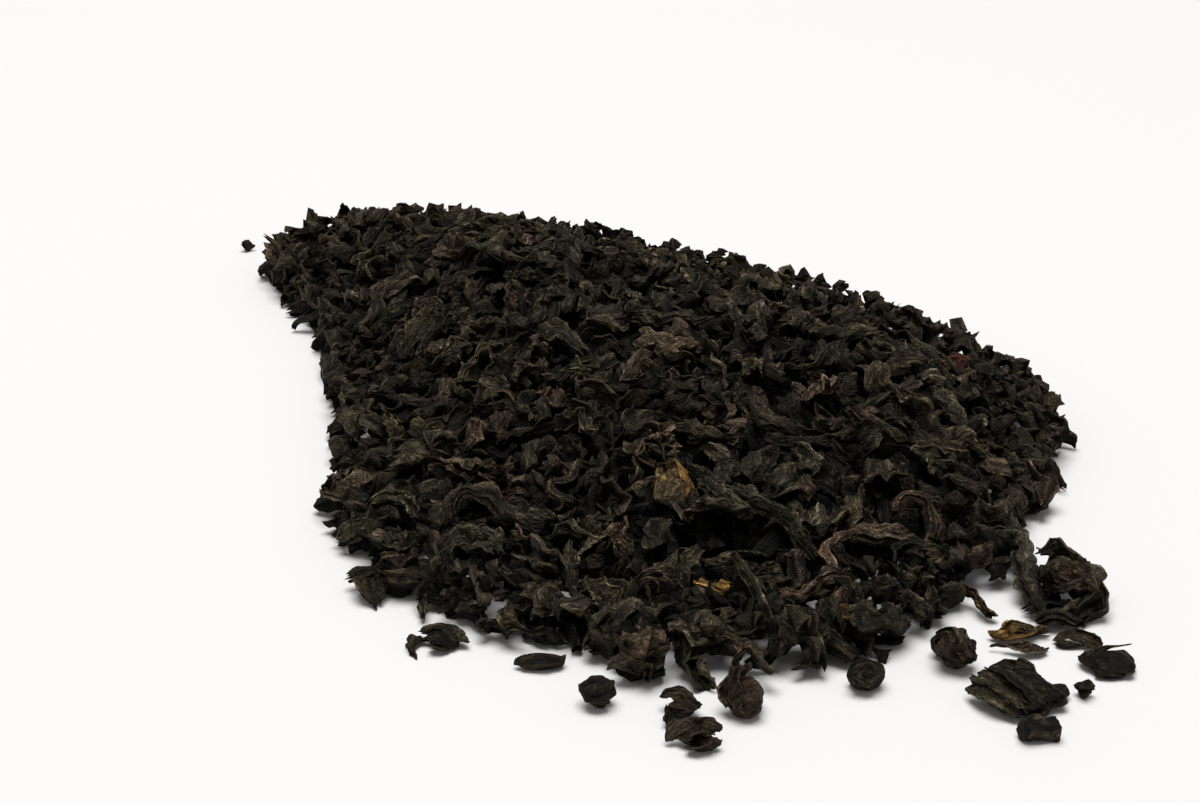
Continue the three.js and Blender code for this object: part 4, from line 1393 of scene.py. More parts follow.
@dataclass(frozen=True)
class LeafFinish:
    """Dry tea leaf: streaked along its length, dusted and given a painted sheen and painted highlights on
    its ridges and rims, with painted shade in its folds.
    """

    name: str = "dry_leaf"
    roughness: tuple[float, float] = (0.45, 0.75)
    specular: float = 0.16
    streak_depth: float = 0.36  # millimetres
    pore_depth: float = 0.3
    wrinkle_depth: float = 0.2
    crease_depth: float = 0.14
    # The next three paint shade into the folds and highlights onto the ridges and rims.
    fold_shade: float = 0.08
    ridge_highlight: float = 2.3
    rim_highlight: float = 2.0
    # Colour of the dusting and of a painted sheen on the ridges.
    dust_and_sheen: tuple[float, float, float] = (0.070, 0.058, 0.042)

    def material(self) -> bpy.types.Material:
        """Builds the material, or finds it again.

        Returns:
            The material.
        """
        found = bpy.data.materials.get(self.name)
        if found:
            return found
        material = bpy.data.materials.new(self.name)
        material.use_nodes = True
        net = FinishNet(material.node_tree)
        shader = net.tree.nodes["Principled BSDF"]
        shader.inputs["Specular IOR Level"].default_value = self.specular
        grain = net.node("ShaderNodeAttribute", attribute_name="grain").outputs["Vector"]
        colour = net.node("ShaderNodeAttribute", attribute_name="leaf_colour").outputs["Color"]
        crest = net.node("ShaderNodeAttribute", attribute_name="crest").outputs["Fac"]
        streak = net.noise(grain, (0.5, 2.4, 1.0), 4.0, 0.6)
        mottle = net.noise(grain, (0.8, 0.8, 1.0), 3.0, 0.5)
        pores = net.noise(grain, (3.2, 4.2, 1.0), 3.0, 0.6)
        veins = net.noise(grain, (0.75, 1.7, 1.0), 3.0, 0.55)
        creases = net.noise(grain, (1.3, 3.8, 1.0), 2.0, 0.5)
        wrinkle, crease = (
            net.ranged(net.math("ABSOLUTE", net.math("SUBTRACT", waves, 0.5)), (1.0, 0.0), 0.0, 0.1)
            for waves in (veins, creases)
        )
        # Painted shade in the folds, and a painted highlight on the ridge tops along the streaks.
        fold = net.ranged(crest, (self.fold_shade, 1.0), 0.05, 0.55)
        ridge = net.ranged(net.math("MULTIPLY", crest, streak), (1.0, self.ridge_highlight), 0.3, 0.75)
        shade = net.math("MULTIPLY", fold, ridge)
        for value, out, low, high in (
            (streak, (0.62, 1.45), 0.36, 0.64),
            (pores, (0.55, 1.45), 0.35, 0.65),
            (wrinkle, (0.6, 1.9), 0.0, 1.0),
            (crease, (0.65, 1.7), 0.0, 1.0),
            # Painted highlight on the rims and the highest ridges.
            (crest, (1.0, self.rim_highlight), 0.8, 1.0),
            (mottle, (0.7, 1.35), 0.3, 0.7),
        ):
            shade = net.math("MULTIPLY", shade, net.ranged(value, out, low, high))
        scaled = net.node("ShaderNodeVectorMath", operation="SCALE")
        net.join(colour, scaled.inputs[0])
        net.join(shade, scaled.inputs["Scale"])
        # The dusting and a painted sheen, mixed in on the ridges, patchy with the pores.
        dust_and_sheen_mix = net.node("ShaderNodeMix", data_type="RGBA")
        dust_and_sheen_mix.inputs[7].default_value = (*self.dust_and_sheen, 1)
        net.join(scaled.outputs[0], dust_and_sheen_mix.inputs[6])
        ridge_dust_and_sheen = net.ranged(crest, (0.0, 0.5), 0.55, 1.0)
        net.join(net.math("MULTIPLY", ridge_dust_and_sheen, net.ranged(pores, (0, 1), 0.4, 0.7)), dust_and_sheen_mix.inputs[0])
        net.join(dust_and_sheen_mix.outputs[2], shader.inputs["Base Color"])
        net.join(net.ranged(streak, self.roughness, 0.25, 0.75), shader.inputs["Roughness"])
        relief = net.math("MULTIPLY", streak, self.streak_depth)
        for waves, depth in (
            (pores, self.pore_depth), (wrinkle, self.wrinkle_depth), (crease, self.crease_depth)
        ):
            relief = net.math("ADD", relief, net.math("MULTIPLY", waves, depth))
        bump = net.node("ShaderNodeBump")
        bump.inputs["Distance"].default_value = MM
        bump.inputs["Strength"].default_value = 1.0
        net.join(relief, bump.inputs["Height"])
        net.join(bump.outputs[0], shader.inputs["Normal"])
        return material


@dataclass(frozen=True)
class FloorFinish:
    """Plain pale matt table."""

    name: str = "pale_table"
    colour: tuple[float, float, float] = (0.82, 0.815, 0.81)
    roughness: float = 0.75
    specular: float = 0.2

    def material(self) -> bpy.types.Material:
        """Builds the material.

        Returns:
            The material.
        """
        material = bpy.data.materials.new(self.name)
        material.use_nodes = True
        shader = material.node_tree.nodes["Principled BSDF"]
        shader.inputs["Base Color"].default_value = (*self.colour, 1)
        shader.inputs["Roughness"].default_value = self.roughness
        shader.inputs["Specular IOR Level"].default_value = self.specular
        return material


# ---------------------------------------------------------------- pieces


def make_piece(name: str, leaves: list[Leaf], finish: LeafFinish, node: str) -> bpy.types.Object:
    """Joins leaves into one mesh piece that stands for a solid.

    Args:
        name: the name of the piece.
        leaves: the leaves in their places, in millimetres.
        finish: what they are dressed in.
        node: the solid that the piece stands for.

    Returns:
        The piece.
    """
    counts = [len(leaf.points) for leaf in leaves]
    starts = np.cumsum([0] + counts[:-1])
    points = np.concatenate([leaf.points for leaf in leaves])
    points = (points - (*FOOTPRINT_MIDDLE, 0)) * MM
    faces = np.concatenate([leaf.faces + start for leaf, start in zip(leaves, starts)])
    mesh = bpy.data.meshes.new(name)
    mesh.vertices.add(len(points))
    mesh.vertices.foreach_set("co", points.astype(np.float32).ravel())
    mesh.loops.add(faces.size)
    mesh.loops.foreach_set("vertex_index", faces.astype(np.int32).ravel())
    mesh.polygons.add(len(faces))
    mesh.polygons.foreach_set("loop_start", np.arange(0, faces.size, 3, dtype=np.int32))
    mesh.polygons.foreach_set("use_smooth", np.ones(len(faces), dtype=bool))
    across = math.ceil(math.sqrt(len(leaves)))
    flat = np.concatenate([
        (leaf.corners.reshape(-1, 2) * PATCH_SHARE + PATCH_RIM + (k % across, k // across)) / across
        for k, leaf in enumerate(leaves)
    ])
    layout = mesh.uv_layers.new(name="OFBake")
    layout.data.foreach_set("uv", flat.astype(np.float32).ravel())
    grain = np.concatenate([
        np.column_stack([leaf.grain, np.full(len(leaf.grain), GRAIN_STEP * k)])
        for k, leaf in enumerate(leaves)
    ])
    crest = np.concatenate([leaf.crest for leaf in leaves])
    colour = np.concatenate([leaf.colours() for leaf in leaves])
    for label, kind, part, values in (
        ("grain", "FLOAT_VECTOR", "vector", grain),
        ("crest", "FLOAT", "value", crest),
        ("leaf_colour", "FLOAT_COLOR", "color", colour),
    ):
        data = mesh.attributes.new(label, kind, "POINT").data
        data.foreach_set(part, values.astype(np.float32).ravel())
    mesh.update()
    mesh.validate()
    mesh.set_sharp_from_angle(angle=math.radians(SHARP_EDGE))
    piece = bpy.data.objects.new(name, mesh)
    bpy.context.scene.collection.objects.link(piece)
    mesh.materials.append(finish.material())
    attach(piece, "root")
    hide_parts(node)
    LOG.info("%s: %d leaves, %d triangles", name, len(leaves), len(faces))
    return piece


def shares_seen(
    leaves: list[Leaf], cell: float = 0.45, half: float = 90.0, slack: float = 0.3
) -> np.ndarray:
    """How much of each leaf shows, looked at from above and from all round.

    Args:
        leaves: the leaves in their places.
        cell: millimetres across each square that is looked through.
        half: half the width of the whole view, in millimetres.
        slack: millimetres that a point may lie behind the nearest one and still show.

    Returns:
        The share of each leaf's points that show.
    """
    points = np.concatenate([leaf.points for leaf in leaves])
    owner = np.repeat(np.arange(len(leaves)), [len(leaf.points) for leaf in leaves])
    seen = np.zeros(len(points), dtype=bool)
    for heading, rise in [(0, 90)] + [(45 * k, 22 + 20 * (k % 2)) for k in range(8)]:
        h, r = math.radians(heading), math.radians(rise)
        toward = np.array([math.sin(h) * math.cos(r), -math.cos(h) * math.cos(r), math.sin(r)])
        right = np.array([math.cos(h), math.sin(h), 0])
        depth = points @ toward
        i = ((points @ right + half) / cell).astype(int)
        j = ((points @ np.cross(toward, right) + half) / cell).astype(int)
        nearest = np.full((int(2 * half / cell) + 2,) * 2, -1e9)
        np.maximum.at(nearest, (i, j), depth)
        seen |= depth > nearest[i, j] - slack
    return np.bincount(owner[seen], minlength=len(leaves)) / np.bincount(owner)


@dataclass
class TeaHeap:
    """The heap: a dark packed core under several layers of loose leaves."""

    form: HeapForm
    garden: Garden
    bed: Bed
    finish: LeafFinish = LeafFinish()
    core_depth: float = 4.0  # how far the core lies under the tops of the leaves
    core_shade: float = 0.6  # its colour, as a share of a black leaf's
    core_rings: int = 70
    core_sectors: int = 200
    least_seen: float = 0.1  # leaves of which less shows are left out
    flat_rim: float = 5.0  # millimetres from the edge at the back where leaves lie level
    least_gap: float = 0.3  # millimetres that a place must lie low for another leaf to be laid there
    first_crumbs: int = 120  # crumbs that are laid before all other leaves
    laid_under: float = 0.8  # share of the chance leaves that goes under those of the solid heap
    ways_tried: int = 5  # for each leaf, of which it takes the one in which it lies lowest
    places_tried: int = 60
    across: tuple[tuple[float, float], tuple[float, float]] = ((-44, 48), (-49, 66))  # reach in x and in y
    bare: tuple[tuple[float, float, float], ...] = ((16.4, -36.3, 1.5),)  # x, y and radius of bare gaps
    fill: tuple[tuple[Kind, int, tuple[float, float], tuple[float, float]], ...] = (
        (Kind.SHORT, 400, (3.0, 6.0), (1.2, 2.4)),
        (Kind.HOOK, 210, (2.6, 4.8), (1.4, 2.6)),
        (Kind.FLAKE, 240, (2.6, 5.2), (2.0, 4.0)),
        (Kind.TWIST, 150, (5.5, 10.5), (1.3, 2.4)),
        (Kind.CURL, 260, (4.0, 7.6), (2.2, 4.0)),
        (Kind.SCROLL, 190, (4.0, 7.6), (1.7, 2.8)),
        (Kind.PELLET, 220, (2.4, 4.6), (1.9, 3.2)),
        (Kind.STALK, 40, (4.0, 8.0), (0.6, 1.1)),
        (Kind.CRUMB, 760, (1.4, 3.4), (1.1, 2.2)),
    )

    def core(self) -> Leaf:
        """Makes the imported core, with bumps as deep as the leaves that make them.

        Returns:
            The core as one closed mesh.
        """
        rng = np.random.default_rng(SEED + 7)
        rings, sectors = self.core_rings, self.core_sectors
        edge = self.form.along_foot(np.arange(sectors) / sectors) - self.form.middle
        share = np.linspace(0.3, 1, 60)
        ways = edge[:, None] * share[:, None] + self.form.middle
        heights = self.form.height(ways[..., 0].ravel(), ways[..., 1].ravel()).reshape(sectors, -1)
        rim = edge * share[(heights > self.core_depth).sum(axis=1) - 1][:, None]
        share = (np.arange(1, rings + 1) / rings)[:, None, None]
        flat = (rim[None] * share).reshape(-1, 2) + self.form.middle
        x, y = flat[:, 0], flat[:, 1]
        bumps = sum(
            np.sin(x * math.cos(t) * f + y * math.sin(t) * f + p) * s
            for t, f, p, s in zip(
                rng.uniform(0, math.pi, 24), rng.uniform(0.6, 4.2, 24),
                rng.uniform(0, FULL_TURN, 24), rng.uniform(0.1, 0.28, 24),
            )
        )
        fall = np.clip((1 - np.repeat(share.ravel(), sectors)) * 12, 0, 1)
        z = np.maximum((self.form.height(x, y) - self.core_depth + bumps) * fall, 0.0)
        top = np.column_stack([x, y, z])
        middle_height = float(self.form.height(*self.form.middle)[0]) - self.core_depth
        middle = np.array([[*self.form.middle, middle_height]])
        base = np.array([[*self.form.middle, 0.0]])
        points = np.concatenate([top, middle, base])
        faces = []
        last = (rings - 1) * sectors
        for j in range(sectors):
            k = (j + 1) % sectors
            faces += [[rings * sectors, j, k], [rings * sectors + 1, last + k, last + j]]
            for i in range(0, last, sectors):
                faces += [[i + j, i + sectors + j, i + sectors + k], [i + j, i + sectors + k, i + k]]
        faces = np.array(faces)
        span = np.abs(points[:, :2]).max()
        corners = (points[faces][..., :2] / span + 1) / 2
        crest = np.clip(0.3 + 0.3 * np.append(bumps, [0, 0]), 0, 1)
        dark = tuple(self.core_shade * v for v in TONE_COLOURS[Tone.BLACK])
        return Leaf(points, faces, corners, crest, points[:, :2].copy(), dark)

    def build(self) -> None:
        """Lays down the heap from the core up, and makes one piece for each kind of leaf."""
        core = self.core()
        np.maximum.at(self.bed.top, self.bed.cells(core.points), core.points[:, 2])
        laid: list[tuple[Kind, Leaf]] = []
        for lie, leaf in self.queue():
            x, y = lie.x, lie.y
            highest = math.inf
            if lie.path:
                x = y = 0.0
                rotations = [np.eye(3)]
                highest = leaf.points[:, 2].mean() + 0.3
            elif lie.x or lie.y:
                rotations = [self.form.slope(x, y) @ lie.rotation()]
                over = 1.8 if lie in LAID_LAST else 0.7
                highest = max(self.bed.goal(np.array([x]), np.array([y]))[0] + over, 0.5 * lie.width)
            else:
                x, y = self.lowest_place(lie)
                gap = self.bed.shortfall(np.array([x]), np.array([y]))[0]
                if gap < self.least_gap and lie.kind is not Kind.CRUMB:
                    continue
                flat = y > -8 and self.form.distance_inside(x, y)[0] < self.flat_rim
                slope = np.eye(3) if flat else self.form.slope(x, y)
                rotations = [slope @ self.chance_rotation(lie) for _ in range(self.ways_tried)]
            laid.append((lie.kind, self.bed.lay(leaf, x, y, rotations, highest)))
        seen = shares_seen([core] + [leaf for _, leaf in laid])[1:]
        LOG.info("%d leaves laid, %d of them show", len(laid), int((seen > self.least_seen).sum()))
        kinds: dict[Kind, list[Leaf]] = {}
        for (kind, leaf), share in zip(laid, seen):
            if share > self.least_seen:
                leaf.shade = self.bed.light_at(leaf.points)
                kinds.setdefault(kind, []).append(leaf)
        make_piece("packed_core", [core], self.finish, "tea_heap")
        for kind, leaves in kinds.items():
            make_piece(f"{kind.value}_leaves", leaves, self.finish, "tea_heap")

    def queue(self) -> list[tuple[Lie, Leaf]]:
        """The leaves in the order in which they are laid down.

        Returns:
            Each leaf with how it lies. One at x = y = 0 may lie anywhere.
        """
        rng = np.random.default_rng(SEED + 11)
        under, crumbs = [], []
        for kind, count, length, width in self.fill:
            lengths, widths = rng.uniform(*length, count), rng.uniform(*width, count)
            for leaf, long, wide in zip(self.garden.leaves(kind, lengths, widths), lengths, widths):
                (crumbs if kind is Kind.CRUMB else under).append((Lie(kind, 0, 0, 0, long, wide), leaf))
        rng.shuffle(under)
        shown, last = [], []
        for lie in [*solid_heap_leaves(self.form), *LAID_LAST]:
            if lie.path:
                leaf = self.garden.laid_by_hand(lie, self.form)
            else:
                sizes = np.array([lie.length]), np.array([lie.width])
                leaf = self.garden.leaves(lie.kind, *sizes, lie.make)[0]
            leaf.colour = self.garden.colour(lie.tone)
            leaf.tip = self.garden.colour(lie.tip) if lie.tip else None
            (last if lie.path or lie in LAID_LAST else shown).append((lie, leaf))
        split, first = int(len(under) * self.laid_under), self.first_crumbs
        return crumbs[:first] + under[:split] + shown[::-1] + under[split:] + crumbs[first:] + last

    def lowest_place(self, lie: Lie) -> tuple[float, float]:
        """Finds the lowest of some places that chance offers.

        Args:
            lie: the leaf's kind and size.

        Returns:
            Where its middle goes.
        """
        rng = self.garden.rng
        x, y = (rng.uniform(*span, self.places_tried) for span in self.across)
        inside = self.form.distance_inside(x, y)
        reach = np.where((y < -5) & (x < 30), 0.4 * lie.width, 0.6 * lie.length)
        keep = inside > reach + np.where((x > 12) & (y > -8), 1.8, 0)
        for gap_x, gap_y, radius in self.bare:
            keep &= np.hypot(x - gap_x, y - gap_y) > radius + lie.width / 2
        x, y = x[keep], y[keep]
        if lie.kind is Kind.CRUMB:
            return self.bed.barest(self.bare)
        best = int(np.argmax(self.bed.shortfall(x, y)))
        return float(x[best]), float(y[best])

    def chance_rotation(self, lie: Lie) -> np.ndarray:
        """A chance way for a leaf to lie.

        Args:
            lie: the leaf's kind and size.

        Returns:
            A 3 by 3 rotation.
        """
        rng = self.garden.rng
        tilt = 40 if lie.kind in (Kind.PELLET, Kind.CRUMB) else 24
        open_leaf = lie.kind in (Kind.CURL, Kind.FLAKE, Kind.SCROLL)
        over = rng.choice([0, 180]) if open_leaf else rng.uniform(0, 360)
        return turned(rng.uniform(0, 360), rng.uniform(-tilt, tilt), over + rng.uniform(-tilt, tilt))


# ---------------------------------------------------------------- leaves that lie apart


PLAIN = SheetMake(
    rows=28, columns=24, curl=(0.3, 0.36), pleat=0.14, fold=0.3, hem=0.35, tear=0.03, point=0.3,
    thickness=0.22,
)
BIG_LUMP = LumpMake(spans=30, sides=46, creases=10, finest=11.0, depth=0.26)
SMOOTH_LUMP = LumpMake(
    spans=30, sides=44, creases=9, finest=9.0, depth=0.17, flat=(0.8, 0.95), crumple=0.06
)
CUP = SheetMake(
    rows=28, columns=24, curl=(0.45, 0.5), pleat=0.16, fold=0.3, hem=0.4, tear=0.05, point=0.3
)
POINTED = RolledMake(
    spans=34, sides=18, ridge=0.34, lip=0.2, trough=0.9, ends=(0.5, 0.6), flat=(0.4, 0.5),
    twist=(0, 0.05), knots=3, ragged=0.2, swell=0.05, taper=0.88, crumple=0.04,
)
PLUMP = LumpMake(spans=36, sides=54, creases=7, finest=6.5, depth=0.2, flat=(0.85, 0.95), crumple=0.05)
ROUND = LumpMake(spans=36, sides=54, creases=6, finest=7.0, depth=0.08, flat=(0.95, 1.0), crumple=0.04)
OVAL = LumpMake(spans=36, sides=54, creases=7, finest=8.0, depth=0.15, flat=(0.55, 0.65), crumple=0.07)
BLOCK = LumpMake(spans=34, sides=52, depth=0.12, flat=(0.8, 0.9), square=0.5, crumple=0.06)


COIL_STEPS = 18
COIL_HEART = 0.12  # share of the radius at which a coil's innermost end lies
COIL_START = 1.2  # radians that the whole coil is turned back
UPRIGHT, LEANING = 0.91, 0.41  # cosine and sine of the slope of a coil that faces the front


def coiled_edge(x: float, y: float, z: float, radius: float, ball: float, turns: float) -> Path:
    """The edge of a rolled leaf where it shows as a spiral on the side of a ball that faces the front.

    Args:
        x: the spiral's middle.
        y: the other coordinate of that.
        z: how high it lies.
        radius: of the outermost turn.
        ball: the radius of the ball.
        turns: how often it goes round.

    Returns:
        The path of the edge.
    """
    path = []
    for share in np.linspace(COIL_HEART, 1, COIL_STEPS):
        angle, out = share * turns * FULL_TURN - COIL_START, share * radius
        back = ball - math.sqrt(ball ** 2 - out ** 2)
        across, up = out * math.cos(angle), out * math.sin(angle)
        path.append((x + across, y + LEANING * up + UPRIGHT * back, z + UPRIGHT * up - LEANING * back))
    return tuple(path)


APART: dict[str, tuple[Lie, ...]] = {
    "front_flake": (
        Lie(Kind.PELLET, 5.9, -57, -8, 4.2, 2.6, tone=Tone.TWIG, make=OVAL),
        hand(Kind.SHEET, 3.0,
             ((3.6, -57.2, 1.2), (4.8, -56.3, 2.4), (6.6, -56.3, 2.5), (7.8, -56.7, 1.8)), tone=Tone.TWIG,
             roll=15, make=PLAIN),
        hand(Kind.SHEET, 2.2, ((4.6, -58.4, 1.2), (6.2, -58.8, 1.0), (8.3, -57.4, 1.8)), tone=Tone.BROWN,
             roll=-20, make=PLAIN),
    ),
    "front_pellet": (
        Lie(Kind.PELLET, -2.2, -51, 30, 3.3, 3.1, make=PLUMP),
    ),
    "front_hook": (
        hand(Kind.STRAP, 1.8, ((3.7, -54.8, 0.5), (3.9, -53.4, 0.9), (4.4, -52.2, 1.4))),
        hand(Kind.SHEET, 2.8, ((3.8, -52, 1.5), (5, -51.6, 2.1), (6.6, -52.9, 1.2)), make=PLAIN),
        Lie(Kind.PELLET, 5.2, -52.2, 20, 3.0, 2.4, make=SMOOTH_LUMP),
    ),
    "front_knot": (
        Lie(Kind.PELLET, 10, -51.8, 20, 4.4, 4.2, tone=Tone.TWIG, make=SMOOTH_LUMP),
        hand(Kind.WIRE, 0.75, coiled_edge(10.1, -53.4, 2.4, 1.1, 2.2, 1.2), tone=Tone.TWIG),
        hand(Kind.SHEET, 2.4, ((8.3, -53, 0.7), (8.6, -51.8, 2.4), (9.1, -50.6, 4.6)), tone=Tone.BROWN),
        hand(Kind.SHEET, 1.6, ((9.4, -51.4, 3.4), (9.9, -50.9, 4.2), (9.8, -50.6, 4.8)), tone=Tone.BROWN),
    ),
    "rolled_leaf": (
        Lie(Kind.PELLET, 21.2, -48, 10, 3.6, 3.4, tone=Tone.OLIVE, make=ROUND),
        hand(Kind.WIRE, 0.75, coiled_edge(21.0, -49.5, 2.15, 1.3, 1.75, 1.8), tone=Tone.OLIVE),
    ),
    "left_leaf": (
        hand(Kind.STRAP, 3.4, ((-24.2, -29.4, 1.3), (-23.6, -32, 1.1), (-22.8, -34.6, 0.3)),
             tone=Tone.OLIVE, make=POINTED),
        hand(Kind.STRAP, 1.8, ((-23, -29.6, 1.3), (-22.6, -31.6, 1), (-22.4, -33.8, 0.5)), make=POINTED),
    ),
    "left_fold": (
        hand(Kind.STRAP, 2.5, ((-18.4, -38.8, 1.1), (-18.8, -41, 1), (-18.3, -43.8, 0.3)), make=POINTED),
        hand(Kind.STRAP, 3.0, ((-17.9, -38.9, 1.2), (-16.2, -38.9, 2.4), (-14.4, -41.2, 1.2)),
             tone=Tone.OLIVE),
        hand(Kind.SHEET, 2.4, ((-17.2, -41.2, 1), (-16, -41.8, 1.4), (-15, -42.8, 0.6)), roll=-20,
             make=PLAIN),
        Lie(Kind.PELLET, -15.9, -40.4, -20, 2.8, 2.6, make=ROUND),
    ),
    "oval_chip": (
        Lie(Kind.PELLET, -7.3, -44.6, 8, 4.6, 2.4, tone=Tone.BROWN, make=OVAL),
    ),
    "right_pellet": (
        Lie(Kind.PELLET, 29.4, -44.6, 84, 4.2, 4.0, tone=Tone.BROWN, make=PLUMP),
        Lie(Kind.PELLET, 28.6, -42.6, 10, 2.8, 2.6, tone=Tone.BROWN, make=PLUMP),
        hand(Kind.STRAP, 1.7, ((28.2, -42.6, 2), (29.4, -44, 3.4), (30.4, -46.4, 1.8)), tone=Tone.BROWN),
    ),
    "right_clump": (
        Lie(Kind.PELLET, 33.6, -50.6, -48, 7.0, 4.4),
        Lie(Kind.PELLET, 36.6, -50.2, -40, 4.2, 3.4, make=PLUMP),
        Lie(Kind.PELLET, 33.8, -48.4, 10, 6, 3),
        hand(Kind.STRAP, 3.2, ((30, -48.2, 2.2), (31.4, -50.6, 3.1), (34, -53.2, 1.6)), tone=Tone.OLIVE),
        hand(Kind.STRAP, 2.9, ((31.6, -47.4, 2.8), (33.4, -49.8, 3.8), (35.8, -52.6, 1.8))),
        hand(Kind.SHEET, 3.0, ((31.6, -47, 2.4), (34, -46.8, 3.1), (36.8, -48, 2.2)), tone=Tone.OLIVE,
             make=PLAIN),
        hand(Kind.STRAP, 2.4, ((34, -47.6, 3), (35.8, -49.2, 3.3), (38, -51.4, 1.6))),
        Lie(Kind.PELLET, 37.9, -49.2, 50, 2.8, 2.4, make=PLUMP),
        Lie(Kind.PELLET, 35.8, -52.4, 20, 2.8, 2.2, make=PLUMP),
    ),
    "right_block": (
        Lie(Kind.PELLET, 34.8, -56.4, 4, 3.6, 2.3, tone=Tone.BROWN, make=BLOCK),
    ),
    "right_crumb": (
        Lie(Kind.PELLET, 39.9, -49.6, 45, 2, 1.8),
    ),
    "right_curl": (
        Lie(Kind.PELLET, 42.6, -45, -14, 4.4, 4.0, make=OVAL),
        Lie(Kind.PELLET, 42.4, -46, 10, 3.0, 2.6, make=ROUND),
        hand(Kind.STRAP, 1.7, ((40.6, -44.4, 1.8), (42.2, -43.4, 2.6), (44.4, -43.2, 4.1)), make=POINTED),
    ),
    "right_twist": (
        hand(Kind.SHEET, 2.0,
             ((38.8, -39.9, 1), (40.4, -39.4, 1.9), (41.8, -40.2, 1.8), (42.9, -41.6, 0.7)), make=CUP),
        hand(Kind.STRAP, 1.3, ((39, -40.4, 0.6), (40.6, -40.9, 0.8), (42.2, -40.6, 0.9)), make=POINTED),
    ),
    "low_curl": (
        hand(Kind.SHEET, 1.8, ((33, -42, 0.5), (35, -43, 0.9), (37, -42.8, 0.9), (38.4, -41.4, 0.6)),
             tone=Tone.BROWN),
    ),
    "golden_stem": (
        hand(Kind.SHEET, 3.6, ((38.6, -38, 0.8), (37, -37.8, 1.1), (35.2, -38.6, 1), (33.6, -39.4, 0.8)),
             tone=Tone.STEM, tip=Tone.GOLD, make=PLAIN),
        Lie(Kind.PELLET, 34, -39.3, 20, 2.8, 2.2, tone=Tone.GOLD, make=SMOOTH_LUMP),
        Lie(Kind.PELLET, 37, -38.2, 0, 3.2, 1.8, tone=Tone.STEM, make=SMOOTH_LUMP),
    ),
    "back_crumb": (
        Lie(Kind.PELLET, -46.2, 60, 0, 1.7, 1.5),
    ),
}


DRAW_STEP = 100  # between the seeds of one draw and the next
APART_DRAWS: dict[str, int] = {  # which draw of chance gives each of them its shape
    "front_flake": 4, "front_pellet": 2, "front_hook": 2, "front_knot": 2, "rolled_leaf": 3, "left_leaf": 5,
    "left_fold": 3, "oval_chip": 3, "right_pellet": 2, "right_clump": 4, "right_block": 6, "right_crumb": 4,
    "right_curl": 4, "right_twist": 4, "low_curl": 4, "golden_stem": 2, "back_crumb": 0,
}


@dataclass
class LeavesApart:
    """The leaves that lie apart from the heap, each in the place of its solid."""

    form: HeapForm
    finish: LeafFinish = LeafFinish()
    lifted: float = 0.45  # height of a lump's middle, as a share of its width

    def leaf(self, lie: Lie, garden: Garden) -> Leaf:
        """Makes one leaf in its place.

        Args:
            lie: how the leaf lies.
            garden: what makes it.

        Returns:
            The leaf.
        """
        if lie.path:
            leaf = garden.laid_by_hand(lie, self.form)
        else:
            make = lie.make or (BIG_LUMP if lie.kind is Kind.PELLET else None)
            sizes = np.array([lie.length]), np.array([lie.width])
            leaf = garden.leaves(lie.kind, *sizes, make)[0]
            leaf = leaf.placed(lie.rotation(), np.array([lie.x, lie.y, lie.width * self.lifted]))
        leaf.colour = garden.colour(lie.tone or Tone.BLACK)
        leaf.tip = garden.colour(lie.tip) if lie.tip else None
        return leaf

    def build(self) -> None:
        """Makes the leaves for each solid and fits them together into its box."""
        for name, lies in APART.items():
            garden = Garden(SEED + DRAW_STEP * APART_DRAWS[name] + 1)
            leaves = [self.leaf(lie, garden) for lie in lies]
            low, high = (np.array(corner) / MM + (*FOOTPRINT_MIDDLE, 0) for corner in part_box(name))
            points = np.concatenate([leaf.points for leaf in leaves])
            own_low, own_high = points.min(axis=0), points.max(axis=0)
            for leaf in leaves:
                leaf.points = low + (leaf.points - own_low) * (high - low) / (own_high - own_low)
            make_piece(f"{name}_leaf", leaves, self.finish, name)


# ---------------------------------------------------------------- studio


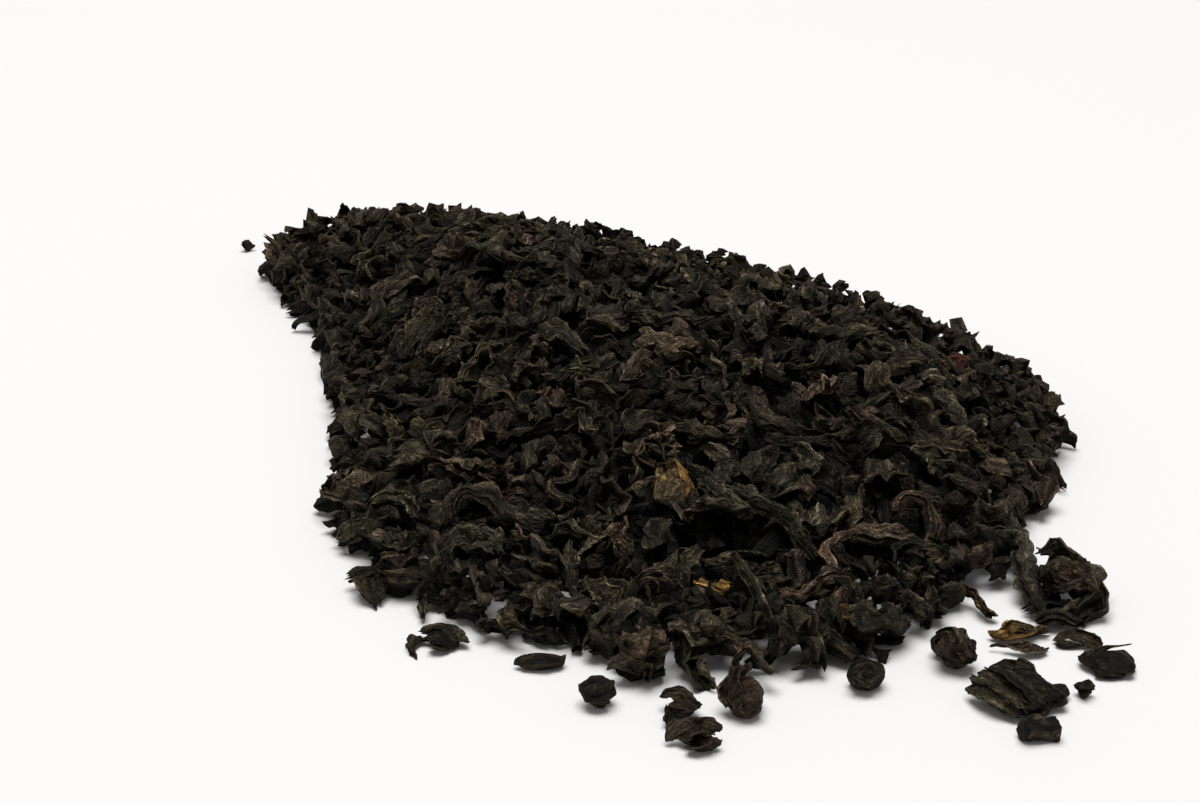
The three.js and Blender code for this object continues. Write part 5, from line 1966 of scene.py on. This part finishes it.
@dataclass
class Studio:
    """A plain pale table, soft light from above and behind, and the camera."""

    camera_place: tuple[float, float, float] = (-2.0, -240.0, 112.8)  # millimetres, as the outline is
    camera_down: float = 24.0  # degrees below level
    lens: float = 50.0
    sensor: float = 23.604
    clip_end: float = 50.0  # metres
    table_size: float = 6.0  # metres
    room_colour: tuple[float, float, float, float] = (1, 0.985, 0.965, 1)
    room_light: float = 0.3
    lamp_place: tuple[float, float, float] = (-0.04, 0.08, 1.2)  # metres
    lamp_size: float = 1.0  # metres across
    lamp_power: float = 15.3  # watts

    def build(self) -> None:
        """Makes the table, the lights and the camera."""
        half = self.table_size / 2
        mesh = bpy.data.meshes.new("table")
        corners = [(-half, -half, 0), (half, -half, 0), (half, half, 0), (-half, half, 0)]
        mesh.from_pydata(corners, [], [(0, 1, 2, 3)])
        table = bpy.data.objects.new("table", mesh)
        mesh.materials.append(FloorFinish().material())
        bpy.context.scene.collection.objects.link(table)
        world = bpy.data.worlds.new("soft_room")
        world.use_nodes = True
        world.node_tree.nodes["Background"].inputs["Color"].default_value = self.room_colour
        world.node_tree.nodes["Background"].inputs["Strength"].default_value = self.room_light
        bpy.context.scene.world = world
        self.hang_lamp()
        camera = bpy.data.cameras.new("camera")
        camera.lens, camera.sensor_width, camera.clip_end = self.lens, self.sensor, self.clip_end
        holder = bpy.data.objects.new("camera", camera)
        place = np.array(self.camera_place) - (*FOOTPRINT_MIDDLE, 0)
        holder.location = place * MM
        holder.rotation_euler = (math.radians(90 - self.camera_down), 0, 0)
        bpy.context.scene.collection.objects.link(holder)
        bpy.context.scene.camera = holder
        bpy.context.scene.view_settings.view_transform = "Standard"

    def hang_lamp(self) -> None:
        """Hangs one large soft lamp over the heap."""
        light = bpy.data.lights.new("tent", "AREA")
        light.shape, light.size, light.energy = "DISK", self.lamp_size, self.lamp_power
        lamp = bpy.data.objects.new("tent", light)
        lamp.location = self.lamp_place
        bpy.context.scene.collection.objects.link(lamp)


def main() -> None:
    """Builds everything in order and reports each piece."""
    logging.basicConfig(level=logging.INFO, format="%(message)s")
    form = HeapForm()
    garden = Garden(SEED)
    TeaHeap(form, garden, Bed(form)).build()
    LeavesApart(form).build()
    Studio().build()


if __name__ == "__main__":
    main()
